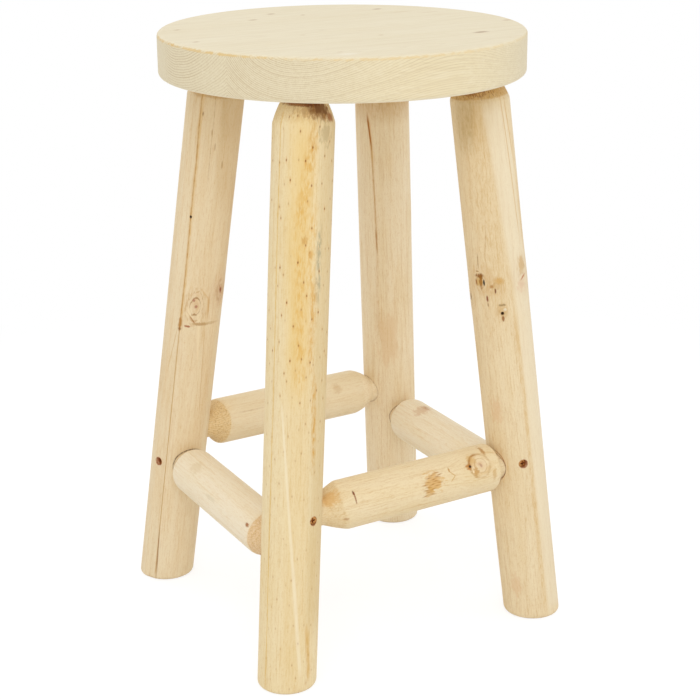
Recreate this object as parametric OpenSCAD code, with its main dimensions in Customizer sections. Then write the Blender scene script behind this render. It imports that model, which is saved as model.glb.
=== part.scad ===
// Backless counter stool: a round softwood seat on four splayed log legs, tied by four log stretchers.
// Legs and stretchers end in a tapered shoulder and a round tenon, glued into a blind socket.
// Each stretcher tenon is pinned through the wall of its leg by a sunk screw.
// The origin is on the floor under the centre of the seat. +Z is up and -Y is the front.

/* [Stool] */
// Height from the floor to the top of the seat
stool_h = 610; // [480:1:760]
// One step of the drift of handwork; at 0 every leg and stretcher lies true
drift_step = 0.5; // [0:0.05:0.6]

/* [Seat] */
// Diameter of the seat
seat_d = 364; // [330:1:440]
// Thickness of the seat
seat_t = 42; // [36:0.5:60]
// Radius of the rounding on the seat's top and bottom edges
seat_round = 4; // [1:0.5:8]
// Width of the middle board, from one glue seam to the other
middle_board_w = 156; // [110:1:190]

/* [Legs] */
// Diameter of a leg log
leg_d = 58.6; // [52:0.2:66]
// Distance between the leg axes along X, where they meet the underside of the seat
leg_top_x = 190; // [160:0.5:215]
// Distance between the leg axes along Y, where they meet the underside of the seat
leg_top_y = 187.6; // [175:0.2:215]
// Distance between the leg axes along X, on the floor
leg_foot_x = 298.4; // [240:0.2:360]
// Distance between the leg axes along Y, on the floor
leg_foot_y = 289; // [240:0.5:360]
// Diameter of the tenon at the top of a leg
leg_tenon_d = 40; // [30:0.5:44]
// Depth of that tenon in the seat
leg_tenon_l = 28; // [18:0.5:30]
// Half angle of the tapered shoulder under the seat
leg_taper = 19; // [12:0.5:35]
// Radius of the rounding on the cut edge of a foot
foot_round = 5; // [2:0.5:8]

/* [Stretchers] */
// Diameter of a stretcher log
stretcher_d = 49.6; // [42:0.2:54]
// Height of the axis of the front and back stretchers
high_stretcher_z = 170; // [165:1:400]
// Drop from those to the axis of the left and right stretchers
stretcher_drop = 33; // [32:0.5:60]
// Diameter of the tenon at the end of a stretcher
stretcher_tenon_d = 30; // [24:0.5:30]
// Depth of that tenon in a leg
stretcher_tenon_l = 24; // [18:0.5:25]
// Half angle of the tapered shoulder beside a leg
stretcher_taper = 22; // [14:0.5:35]

/* [Screws] */
// Outer diameter of the thread
screw_d = 5; // [4:0.1:6]
// Length of a screw, its head included
screw_l = 36; // [30:0.5:40]
// Diameter of the head
screw_head_d = 8.6; // [8:0.1:11]
// Depth of the top of the head under the skin of the log
screw_sink = 2.6; // [1:0.1:5]
// Distance from the leg's axis to the screw, toward the middle of the stretcher
screw_inset = 12; // [9:0.5:16]
// Height of the screw over the stretcher's axis
screw_rise = 4; // [0:0.5:7]

/* [Fits] */
// Radial clearance of a tenon in its socket, filled by glue
tenon_gap = 0.15; // [0.05:0.05:0.4]
// Room left for glue beyond the end of a tenon
socket_end_gap = 1; // [0.5:0.1:2]
// Least distance from a tapered shoulder to the face that it points at
shoulder_gap = 0.3; // [0.1:0.1:1]
// Radial clearance of a screw in its hole
screw_gap = 0.1; // [0.05:0.05:0.3]

/* [Hidden] */
$fn = 96;

SEAT_COLOUR = [0.93, 0.88, 0.78];
LOG_COLOUR = [0.90, 0.81, 0.63];
SCREW_COLOUR = [0.66, 0.56, 0.36];

// The legs go round the stool, and stretcher i joins leg i to the next one
FRONT_LEFT = 0;
FRONT_RIGHT = 1;
BACK_RIGHT = 2;
BACK_LEFT = 3;
FRONT = 0;
RIGHT = 1;
BACK = 2;
LEFT = 3;
LEG_SIDES = [[-1, -1], [1, -1], [1, 1], [-1, 1]];

// The stool is built by hand, so no leg or stretcher lies quite true. These are steps of drift:
// how far each leg's axis is off its even place, at the seat and on the floor, along X and Y
LEG_TOP_DRIFT = [[2, -2], [3, -4], [7, -3], [7, -3]];
LEG_FOOT_DRIFT = [[-5, -5], [-3, 11], [-4, 5], [-2, 2]];
// How far each stretcher's axis is over its even height, in its first leg and in its second
STRETCHER_DRIFT = [[-8, -2], [1, 13], [8, 1], [-2, -12]];
// How far the screws are off their even place, toward the stretcher's middle and upward
SCREW_INSET_DRIFT = [[-6, -3], [2, -4], [-3, 4], [-6, 1]];
SCREW_RISE_DRIFT = [[0, 5], [0, -5], [2, -2], [2, -3]];

seat_r = seat_d / 2;
leg_r = leg_d / 2;
leg_tenon_r = leg_tenon_d / 2;
stretcher_r = stretcher_d / 2;
stretcher_tenon_r = stretcher_tenon_d / 2;
underside_z = stool_h - seat_t;
tenon_chamfer = 1.5;
// Steps in the quarter round that eases a foot
foot_steps = 5;
// How far that quarter round stands outside the log where it ends
foot_margin = 0.5;
// How far a cutting shape reaches past the skin of what it cuts
overcut = 10;

// Parts of a screw that follow its diameter
screw_core_d = 0.66 * screw_d;
screw_pitch = 0.5 * screw_d;
screw_point_l = screw_d;
screw_plain_l = 0.28 * screw_l;
screw_rim_t = 0.1 * screw_head_d;
// Where one thread ridge starts, peaks and ends, as shares of the pitch
ridge_start = 0.2;
ridge_peak = 0.5;
ridge_end = 0.8;
recess_l = 0.6 * screw_head_d;
recess_w = 0.16 * screw_head_d;
recess_depth = 0.24 * screw_head_d;

function unit(v) = v / norm(v);
function turned_right(v) = [v.y, -v.x, 0];

// Where a leg's axis meets the underside of the seat, the floor, or any height
function leg_top(leg) = [
    LEG_SIDES[leg].x * leg_top_x / 2 + LEG_TOP_DRIFT[leg].x * drift_step,
    LEG_SIDES[leg].y * leg_top_y / 2 + LEG_TOP_DRIFT[leg].y * drift_step,
    underside_z
];
function leg_foot(leg) = [
    LEG_SIDES[leg].x * leg_foot_x / 2 + LEG_FOOT_DRIFT[leg].x * drift_step,
    LEG_SIDES[leg].y * leg_foot_y / 2 + LEG_FOOT_DRIFT[leg].y * drift_step,
    0
];
function leg_at(leg, z) = leg_foot(leg) + (leg_top(leg) - leg_foot(leg)) * z / underside_z;
function leg_way(leg) = unit(leg_top(leg) - leg_foot(leg));

// The two ends of a stretcher's axis, on the axes of its legs. end is 0 or 1.
function stretcher_leg(i, end) = (i + end) % 4;
function stretcher_z(i, end) =
    high_stretcher_z - (i % 2) * stretcher_drop + STRETCHER_DRIFT[i][end] * drift_step;
function stretcher_point(i, end) = leg_at(stretcher_leg(i, end), stretcher_z(i, end));
// The way into the stretcher from one of its ends
function stretcher_way(i, end) = unit(stretcher_point(i, 1 - end) - stretcher_point(i, end));

// Distance from a leaning axis's crossing to a square shoulder that clears a face or a log of radius r
function shoulder_clear(lean, tenon_r, r) = r / cos(lean) + tenon_r * tan(lean) + shoulder_gap;
function leg_lean(leg) = acos(leg_way(leg).z);
function stretcher_lean(i, end) = abs(asin(stretcher_way(i, end) * leg_way(stretcher_leg(i, end))));

// Where a pin screw enters: the point on the leg's skin and the way out of the leg
function outward(i) = unit(turned_right(stretcher_way(i, 0)));
function screw_line(i, end) = stretcher_point(i, end)
    + stretcher_way(i, end) * (screw_inset + SCREW_INSET_DRIFT[i][end] * drift_step)
    + [0, 0, screw_rise + SCREW_RISE_DRIFT[i][end] * drift_step];
function from_leg_axis(i, end) = screw_line(i, end) - leg_at(stretcher_leg(i, end), screw_line(i, end).z);
function skin_reach(i, end) = sqrt(leg_r ^ 2 - (from_leg_axis(i, end) * stretcher_way(i, end)) ^ 2)
    - from_leg_axis(i, end) * outward(i);
function screw_entry(i, end) = screw_line(i, end) + outward(i) * skin_reach(i, end);

// Puts its children at p and tips them, with no twist, until their Z axis points along way
module aim(p, way) {
    heading = atan2(way.y, way.x);
    translate(p)
        rotate([0, acos(way.z / norm(way)), heading])
            rotate(-heading)
                children();
}

// The outline of a log end, from its skin of radius r to its axis: a taper that ends at shoulder,
// then the tenon with a chamfered tip
function log_end(r, shoulder, tenon_r, tip, taper) = [
    [r, shoulder - (r - tenon_r) / tan(taper)],
    [tenon_r, shoulder],
    [tenon_r, tip - tenon_chamfer],
    [tenon_r - tenon_chamfer, tip],
    [0, tip]
];
// The same outline for the other end of the log, pointing down
function turned_down(outline) = [for (k = [len(outline) - 1 : -1 : 0]) [outline[k].x, -outline[k].y]];

module seat_blank() {
    flat_r = seat_r - seat_round;
    translate([0, 0, underside_z])
        rotate_extrude($fn = 180) {
            square([flat_r, seat_t]);
            translate([0, seat_round])
                square([seat_r, seat_t - 2 * seat_round]);
            for (z = [seat_round, seat_t - seat_round])
                translate([flat_r, z])
                    circle(seat_round);
        }
}

// The blind socket in the seat for one leg
module leg_socket(leg) {
    socket_l = leg_tenon_l + socket_end_gap;
    aim(leg_top(leg), leg_way(leg))
        translate([0, 0, -overcut])
            cylinder(r = leg_tenon_r + tenon_gap, h = socket_l + overcut);
}

// One board of the seat, from y_low to y_high. The sockets are drilled after the boards are glued,
// so each one cuts whichever boards it falls in.
module seat_board(y_low, y_high) {
    color(SEAT_COLOUR)
        difference() {
            intersection() {
                seat_blank();
                translate([-seat_d, y_low, 0])
                    cube([2 * seat_d, y_high - y_low, 2 * stool_h]);
            }
            for (leg = [FRONT_LEFT : BACK_LEFT])
                leg_socket(leg);
        }
}

// The log of one leg before its joints are cut: too long at the foot, with its tenon at the top
module leg_blank(leg) {
    axis_l = norm(leg_top(leg) - leg_foot(leg));
    shoulder = axis_l - shoulder_clear(leg_lean(leg), leg_tenon_r, 0);
    aim(leg_foot(leg), leg_way(leg))
        rotate_extrude()
            polygon(concat(
                [[0, -leg_r], [leg_r, -leg_r]],
                log_end(leg_r, shoulder, leg_tenon_r, axis_l + leg_tenon_l, leg_taper)
            ));
}

// What a foot is trimmed to: flat on the floor, with a quarter round at the edge.
// The round stands a little wide, so that it meets the leaning log on every side.
module foot_trim(leg) {
    wide_r = leg_r / cos(leg_lean(leg)) + foot_round * tan(leg_lean(leg)) + foot_margin;
    rounding = [
        for (k = [0 : foot_steps])
            let (a = 90 * k / foot_steps)
                [wide_r - foot_round * (1 - sin(a)), foot_round * (1 - cos(a))]
    ];
    translate([leg_foot(leg).x, leg_foot(leg).y, 0])
        rotate_extrude()
            polygon(concat([[0, 0]], rounding, [[seat_d, foot_round], [seat_d, stool_h], [0, stool_h]]));
}

// The blind socket in a leg for one end of a stretcher
module stretcher_socket(i, end) {
    socket_end = leg_r - stretcher_tenon_l - socket_end_gap;
    aim(stretcher_point(i, end), stretcher_way(i, end))
        translate([0, 0, socket_end])
            cylinder(r = stretcher_tenon_r + tenon_gap, h = leg_r + overcut);
}

// The hole for a pin screw: a counterbore, a cone for the head and a pilot down to the point
module screw_hole(i, end) {
    head_r = screw_head_d / 2 + screw_gap;
    shank_r = screw_d / 2 + screw_gap;
    rim_end = screw_rim_t + screw_gap;
    hole_end = screw_l + screw_gap;
    aim(screw_entry(i, end) - outward(i) * screw_sink, -outward(i))
        rotate_extrude()
            polygon([
                [0, -overcut],
                [head_r, -overcut],
                [head_r, rim_end],
                [shank_r, rim_end + head_r - shank_r],
                [shank_r, hole_end],
                [0, hole_end]
            ]);
}

// Leg i carries the first end of stretcher i and the second end of the stretcher before it
module leg(i) {
    before = (i + 3) % 4;
    color(LOG_COLOUR)
        difference() {
            intersection() {
                leg_blank(i);
                foot_trim(i);
            }
            stretcher_socket(i, 0);
            stretcher_socket(before, 1);
            screw_hole(i, 0);
            screw_hole(before, 1);
        }
}

// The outline of one end of a stretcher, measured from the stretcher's middle
function stretcher_end(i, end) =
    let (
        middle = norm(stretcher_point(i, 1) - stretcher_point(i, 0)) / 2,
        clear = shoulder_clear(stretcher_lean(i, end), stretcher_tenon_r, leg_r),
        tip = middle - leg_r + stretcher_tenon_l
    )
    log_end(stretcher_r, middle - clear, stretcher_tenon_r, tip, stretcher_taper);

module stretcher(i) {
    middle = (stretcher_point(i, 0) + stretcher_point(i, 1)) / 2;
    color(LOG_COLOUR)
        difference() {
            aim(middle, stretcher_way(i, 0))
                rotate_extrude()
                    polygon(concat(turned_down(stretcher_end(i, 0)), stretcher_end(i, 1)));
            screw_hole(i, 0);
            screw_hole(i, 1);
        }
}

// A countersunk wood screw with a cross recess. Its head lies at the origin and its point along +Z.
module screw() {
    head_r = screw_head_d / 2;
    thread_r = screw_d / 2;
    core_r = screw_core_d / 2;
    neck = screw_rim_t + head_r - core_r;
    thread_start = neck + screw_plain_l;
    thread_end = screw_l - screw_point_l;
    ridges = floor((thread_end - thread_start) / screw_pitch);
    thread = [
        for (k = [0 : ridges - 1])
            for (p = [[core_r, ridge_start], [thread_r, ridge_peak], [core_r, ridge_end]])
                [p.x, thread_start + (k + p.y) * screw_pitch]
    ];
    color(SCREW_COLOUR)
        difference() {
            rotate_extrude($fn = 48)
                polygon(concat(
                    [[0, 0], [head_r, 0], [head_r, screw_rim_t], [core_r, neck]],
                    thread,
                    [[core_r, thread_end], [0, screw_l]]
                ));
            for (turn = [0, 90])
                rotate(turn)
                    translate([-recess_l / 2, -recess_w / 2, -1])
                        cube([recess_l, recess_w, recess_depth + 1]);
        }
}

// The two pin screws of one stretcher
module stretcher_screws(i) {
    for (end = [0, 1])
        aim(screw_entry(i, end) - outward(i) * screw_sink, -outward(i))
            screw();
}

module seat_board_front() { seat_board(-seat_d, -middle_board_w / 2); }
module seat_board_middle() { seat_board(-middle_board_w / 2, middle_board_w / 2); }
module seat_board_back() { seat_board(middle_board_w / 2, seat_d); }
module leg_front_left() { leg(FRONT_LEFT); }
module leg_front_right() { leg(FRONT_RIGHT); }
module leg_back_right() { leg(BACK_RIGHT); }
module leg_back_left() { leg(BACK_LEFT); }
module stretcher_front() { stretcher(FRONT); }
module stretcher_right() { stretcher(RIGHT); }
module stretcher_back() { stretcher(BACK); }
module stretcher_left() { stretcher(LEFT); }
module front_stretcher_screws() { stretcher_screws(FRONT); }
module right_stretcher_screws() { stretcher_screws(RIGHT); }
module back_stretcher_screws() { stretcher_screws(BACK); }
module left_stretcher_screws() { stretcher_screws(LEFT); }

seat_board_front();
seat_board_middle();
seat_board_back();
leg_front_left();
leg_front_right();
leg_back_right();
leg_back_left();
stretcher_front();
stretcher_right();
stretcher_back();
stretcher_left();
front_stretcher_screws();
right_stretcher_screws();
back_stretcher_screws();
left_stretcher_screws();
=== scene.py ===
"""The looks of a backless counter stool made of peeled softwood logs and a glued round seat.

Sizes are in millimetres and angles in degrees, in the stool's own frame: +Z is up, -Y is the front
and the origin is on the floor under the centre of the seat. A mesh is brought to metres as it is made.

A place on a log is given by two numbers: its turn round the axis and how far along the axis it lies.
Turn 0 looks along the log's facing, and a positive turn goes counterclockwise when the log is seen
from its far end.
"""

import logging
import math
from collections.abc import Sequence
from dataclasses import dataclass, replace
from enum import Enum

import bpy
import numpy as np
from mathutils import Matrix, Vector


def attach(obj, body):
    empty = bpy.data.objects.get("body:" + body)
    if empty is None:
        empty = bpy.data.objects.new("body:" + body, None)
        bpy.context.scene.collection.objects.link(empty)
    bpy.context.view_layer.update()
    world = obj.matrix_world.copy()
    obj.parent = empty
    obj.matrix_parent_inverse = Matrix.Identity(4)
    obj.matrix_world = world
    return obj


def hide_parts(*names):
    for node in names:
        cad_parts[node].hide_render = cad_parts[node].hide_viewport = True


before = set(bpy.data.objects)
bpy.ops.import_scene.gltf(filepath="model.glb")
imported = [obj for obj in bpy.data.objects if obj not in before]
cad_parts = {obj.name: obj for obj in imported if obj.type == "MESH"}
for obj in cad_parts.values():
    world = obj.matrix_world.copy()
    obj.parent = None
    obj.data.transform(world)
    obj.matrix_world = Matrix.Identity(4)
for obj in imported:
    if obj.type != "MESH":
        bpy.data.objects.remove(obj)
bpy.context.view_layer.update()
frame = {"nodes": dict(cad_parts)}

MM = 0.001
UP = np.array([0.0, 0.0, 1.0])

SEAT_TOP = 610.0
SEAT_UNDERSIDE = 568.0
SEAT_RADIUS = 182.0
SEAM = 78.0

LEG_RADIUS = 29.3
LEG_TENON_RADIUS = 20.0
LEG_TENON_LENGTH = 28.0
LEG_TAPER = 19.0
STRETCHER_RADIUS = 24.8
STRETCHER_TENON_RADIUS = 15.0
STRETCHER_TENON_LENGTH = 24.0
STRETCHER_TAPER = 22.0
TENON_GAP = 0.15
SHOULDER_GAP = 0.3
SOCKET_END_GAP = 1.0
SCREW_HEAD_RADIUS = 4.4
SCREW_RADIUS = 2.6
SCREW_SINK = 2.6
SCREW_RIM = 0.96
SCREW_HOLE_DEPTH = 8.5

# How far a tenon's tip and its root are eased, and how wide the innermost ring of a log's end is.
TIP_EASE = 1.5
ROOT_EASE = 0.8
END_RING = 2.0

# How far the edges of a socket and of a screw hole are broken outward, and how deep.
SOCKET_EASE = 0.45
SCREW_HOLE_EASE = 0.3
EASE_DEPTH = 0.7

# Vertices round a leg, a stretcher and half the seat's rim, along a glued edge, and over an eased edge.
LEG_COLUMNS = 144
STRETCHER_COLUMNS = 120
RIM_COLUMNS = 150
SEAM_COLUMNS = 60
EDGE_ROWS = 8

# Vertices round a socket's cutter and round the floor.
ROUND_COLUMNS = 96

# An edge stays sharp where its faces turn by more than this, on a log and on all else, in degrees.
LOG_SHARP = 32.0
SHARP = 30.0

# Slow waves of a log's skin: height, how many go round, phase for a seed of 1, and length over 2 pi.
WAVES = ((0.16, 2, 5.1, 170.0), (0.09, 3, -3.7, 95.0), (0.07, 5, 8.3, -61.0))

# A knot's halo ends at this many of its radii.
HALO = 2.5

log = logging.getLogger("stool")


def unit(way: np.ndarray) -> np.ndarray:
    """The vector of length 1 along way."""
    return way / np.linalg.norm(way)


def smooth(low: float, high: float, value: np.ndarray) -> np.ndarray:
    """A step from 0 at low to 1 at high that starts and ends level: 3t^2 - 2t^3."""
    t = np.clip((value - low) / (high - low), 0.0, 1.0)
    return t * t * (3.0 - 2.0 * t)


def half_turn(angle: np.ndarray) -> np.ndarray:
    """The same angle between minus half a turn and half a turn."""
    return (angle + math.pi) % (2 * math.pi) - math.pi


def linear(colour: str) -> tuple[float, float, float, float]:
    """The linear colour that a socket holds, with an alpha of 1, from an sRGB hex colour."""
    parts = [int(colour[k:k + 2], 16) / 255 for k in (1, 3, 5)]
    return (*(p / 12.92 if p <= 0.04045 else ((p + 0.055) / 1.055) ** 2.4 for p in parts), 1.0)


class Painter:
    """The node tree of one material or world, with the one function that adds a node to it."""

    def __init__(self, owner: bpy.types.Material | bpy.types.World) -> None:
        """Start from an empty tree.

        Args:
            owner: The material or world that holds the tree.
        """
        owner.use_nodes = True
        self.owner = owner
        self.tree = owner.node_tree
        self.tree.nodes.clear()

    def add(
        self,
        kind: str,
        *values: object,
        at: dict[str, object] | None = None,
        stops: Sequence[tuple[float, str, float]] = (),
        **settings: object,
    ) -> bpy.types.Node:
        """Add one node with its settings and links.

        Args:
            kind: The node's type after "ShaderNode".
            values: What goes into its inputs in use, in order: a node, a socket, a number or None. A
                node stands for its first output in use.
            at: The same for inputs given by name.
            stops: Place, colour and alpha of each stop of a colour ramp.
            settings: The node's own properties.

        Returns:
            The new node.
        """
        made = self.tree.nodes.new("ShaderNode" + kind)
        for name, value in settings.items():
            setattr(made, name, value)
        in_use = [socket for socket in made.inputs if socket.enabled]
        named = [(made.inputs[name], value) for name, value in (at or {}).items()]
        for socket, value in [*zip(in_use, values), *named]:
            if isinstance(value, bpy.types.Node):
                value = next(out for out in value.outputs if out.enabled)
            if isinstance(value, bpy.types.NodeSocket):
                self.tree.links.new(value, socket)
            elif value is not None:
                socket.default_value = value
        if stops:
            ramp = made.color_ramp.elements
            while len(ramp) < len(stops):
                ramp.new(0.5)
            for element, (place, colour, alpha) in zip(ramp, stops):
                element.position = place
                element.color = (*linear(colour)[:3], alpha)
        return made


@dataclass
class WoodCoat:
    """What is painted so far on one piece of wood, and where a point of it lies.

    turn and along are the point's place on a log. The fields from drift to flecks are noises: drift
    wanders slowly, patches are as large as a fingertip, clouds are a few millimetres across, and
    flecks are as short and thin as torn fibres.
    """

    painter: Painter
    radius: float
    colour: object
    turn: object = None
    along: object = None
    drift: object = None
    patches: object = None
    clouds: object = None
    flecks: object = None
    relief: object = None

    def lay(self, tone: object, mask: object) -> None:
        """Lay a tone over the colour where the mask is 1."""
        tone = linear(tone) if isinstance(tone, str) else tone
        self.colour = self.painter.add("Mix", mask, self.colour, tone, data_type="RGBA")

    def lift(self, height: float, mask: object) -> None:
        """Raise the surface by a height in millimetres where the mask is 1."""
        self.relief = self.painter.add("Math", mask, height, self.relief or 0.0, operation="MULTIPLY_ADD")

    def apart(self, value: object, other: object) -> bpy.types.Node:
        """How far apart two numbers are."""
        gap = self.painter.add("Math", value, other, operation="SUBTRACT")
        return self.painter.add("Math", gap, operation="ABSOLUTE")

    def turned(self, turn: float | object) -> bpy.types.Node:
        """How far round the log a point is from a turn, in radians to either side."""
        away = self.painter.add("Math", self.turn, turn, operation="SUBTRACT")
        return self.painter.add("Math", away, math.pi, -math.pi, operation="WRAP")

    def spot(self, turn: float, along: float, width: float, length: float) -> bpy.types.Node:
        """Place of a point in an ellipse on the skin, as a vector that is 1 long on its edge.

        Args:
            turn: The turn of its middle, in degrees.
            along: How far along the log its middle lies.
            width: Its width round the log.
            length: Its length along the log.

        Returns:
            The node that gives the vector.
        """
        place = self.painter.add("CombineXYZ", self.turned(math.radians(turn)), self.along)
        shares = (2 * self.radius / width, 2 / length, 0)
        middle = (0, -2 * along / length, 0)
        return self.painter.add("VectorMath", place, shares, middle, operation="MULTIPLY_ADD")

    def reach(self, *ellipse: float, noise: object = None, ragged: float = 0.0) -> bpy.types.Node:
        """How far a point is from the middle of an ellipse, where 1 is its edge.

        Args:
            ellipse: Turn, distance along, width and length, as spot takes them.
            noise: What makes the edge ragged.
            ragged: How far it moves the edge.

        Returns:
            The node that gives the distance.
        """
        reach = self.painter.add("VectorMath", self.spot(*ellipse), operation="LENGTH")
        if noise is None:
            return reach
        uneven = self.painter.add("Math", noise, 0.5, operation="SUBTRACT")
        return self.painter.add("Math", uneven, ragged, reach, operation="MULTIPLY_ADD")

    def noises(self, place: object, sizes: dict[str, tuple]) -> dict[str, bpy.types.Node]:
        """Make the noises that figure the wood.

        Args:
            place: The place in millimetres.
            sizes: How large each noise is in X, Y and Z, and how many finer ones it carries.

        Returns:
            The noises by their names.
        """
        made = {}
        for name, (size, detail) in sizes.items():
            scaled = self.painter.add("VectorMath", place, [1 / s for s in size], operation="MULTIPLY")
            made[name] = self.painter.add("TexNoise", scaled, 1.0, detail, 0.6)
        return made

    def fibres(
        self,
        noise: dict[str, object],
        levels: Sequence[tuple[str, float, float, float]],
        dark: str,
        pale: str,
        pale_share: float = 1,
    ) -> None:
        """Darken the wood where a noise is high and brighten it where it is as low.

        Args:
            noise: The noises by their names.
            levels: A noise's name, where it starts to show, where it shows most, and how much.
            dark: The tone of the dark fibres.
            pale: The tone of the pale ones.
            pale_share: How strong the pale ones are for each dark one.
        """
        for name, low, high, cover in levels:
            self.lay(dark, self.painter.add("MapRange", noise[name], low, high, 0.0, cover))
            share = cover * pale_share
            self.lay(pale, self.painter.add("MapRange", noise[name], 1 - low, 1 - high, 0.0, share))

    def year_rings(
        self,
        away: object,
        ring: float,
        late: Sequence[tuple[float, str]],
        weights: tuple[float, float],
        blend: str = "LINEAR",
    ) -> bpy.types.Node:
        """Where the dark late wood of each year lies.

        Args:
            away: How far the place is from the pith.
            ring: How wide a year's ring is.
            late: How dark the wood is through a year, as places and greys.
            weights: How strongly the faintest and the clearest year show.
            blend: How the greys run into each other.

        Returns:
            The node that is 1 in the darkest late wood.
        """
        add = self.painter.add
        years = add("Math", away, ring, operation="DIVIDE")
        dark = add("ValToRGB", add("Math", years, operation="FRACT"), stops=[(*stop, 1.0) for stop in late])
        dark.color_ramp.interpolation = blend
        weight = add("TexWhiteNoise", add("Math", years, operation="FLOOR"), noise_dimensions="1D")
        weight = add("MapRange", weight, 0.0, 1.0, *weights)
        return add("Math", dark, weight, operation="MULTIPLY")

    def finish(self, piece: bpy.types.Object, noise: object, dull: tuple[float, float]) -> None:
        """Put the coat on its piece of bare wood.

        Args:
            piece: The piece's object.
            noise: What makes the wood unevenly dull.
            dull: The least and the most roughness.
        """
        add = self.painter.add
        bump = add("Bump", at={"Strength": 1.0, "Distance": MM, "Height": self.relief})
        rough = add("MapRange", noise, 0.3, 0.7, *dull)
        skin = add("BsdfPrincipled", at={"Base Color": self.colour, "Roughness": rough, "Normal": bump,
                                         "Specular IOR Level": 0.3, "IOR": 1.5})
        add("OutputMaterial", skin)
        piece.data.materials.append(self.painter.owner)


class Mark:
    """Something that marks the skin of a log."""

    def paint(self, coat: WoodCoat) -> None:
        """Paint the mark on the coat."""
        raise NotImplementedError


@dataclass(frozen=True)
class Spot(Mark):
    """A mark that fills an ellipse on the skin: its middle, its width round and its length along."""

    turn: float
    along: float
    width: float
    length: float

    def reach(self, coat: WoodCoat, noise: object = None, ragged: float = 0.0) -> bpy.types.Node:
        """How far a point is from the spot's middle, as WoodCoat.reach gives it."""
        return coat.reach(self.turn, self.along, self.width, self.length, noise=noise, ragged=ragged)


class KnotKind(Enum):
    """How a knot looks from its heart, at 0, to the end of its halo, at 1.

    Each stop is a place, a colour and how much of that colour covers the wood.
    """

    RINGED = (
        (0.00, "#A06A48", 0.75), (0.05, "#C49470", 0.5), (0.10, "#D9B58C", 0.35), (0.135, "#B48A62", 0.65),
        (0.165, "#DCBC92", 0.3), (0.23, "#DCBC92", 0.3), (0.255, "#B0845A", 0.6), (0.285, "#DDBF96", 0.25),
        (0.35, "#DDBF96", 0.2), (0.375, "#B88C5C", 0.5), (0.41, "#DABB8E", 0.15), (0.50, "#DABB8E", 0.1),
        (0.53, "#BF9460", 0.4), (0.57, "#D8B888", 0.1), (0.75, "#C69C66", 0.25), (0.80, "#D8B888", 0.0),
    )
    BARKED = (
        (0.00, "#B98A57", 0.5), (0.10, "#C79C69", 0.45), (0.20, "#B07F48", 0.6), (0.26, "#C4965C", 0.5),
        (0.33, "#94602C", 0.8), (0.39, "#8A5524", 0.8), (0.44, "#B98849", 0.6), (0.60, "#CFA566", 0.25),
        (1.00, "#CFA566", 0.0),
    )
    RED = (
        (0.00, "#8E4B2A", 0.85), (0.07, "#A05C36", 0.7), (0.13, "#C39066", 0.5), (0.22, "#B27C50", 0.55),
        (0.30, "#C69A6E", 0.4), (0.40, "#B5835A", 0.45), (0.55, "#CBA077", 0.25), (1.00, "#CBA077", 0.0),
    )
    CORED = (
        (0.00, "#9C5430", 0.85), (0.03, "#B0744C", 0.6), (0.08, "#DDB890", 0.5), (0.16, "#E2C59E", 0.4),
        (0.24, "#E9D3AC", 0.5), (0.31, "#E4CBA0", 0.3), (0.38, "#D6B074", 0.35), (0.46, "#DDBE84", 0.2),
        (1.00, "#DDBE84", 0.0),
    )
    OVAL = (
        (0.00, "#CDA47C", 0.45), (0.13, "#DCBB90", 0.3), (0.185, "#DCBB90", 0.2), (0.205, "#A0713C", 0.65),
        (0.235, "#A0713C", 0.65), (0.26, "#E0C49C", 0.3), (0.36, "#DDBF96", 0.15), (0.40, "#B98A52", 0.5),
        (0.43, "#DABB8E", 0.1), (0.50, "#C4985E", 0.3), (0.54, "#DABB8E", 0.0),
    )
    SWIRL = (
        (0.00, "#B98A52", 0.3), (0.20, "#CFA468", 0.3), (0.34, "#B98A50", 0.4), (0.42, "#D5AE74", 0.25),
        (0.60, "#C79A5E", 0.3), (1.00, "#D5AE74", 0.0),
    )


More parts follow.
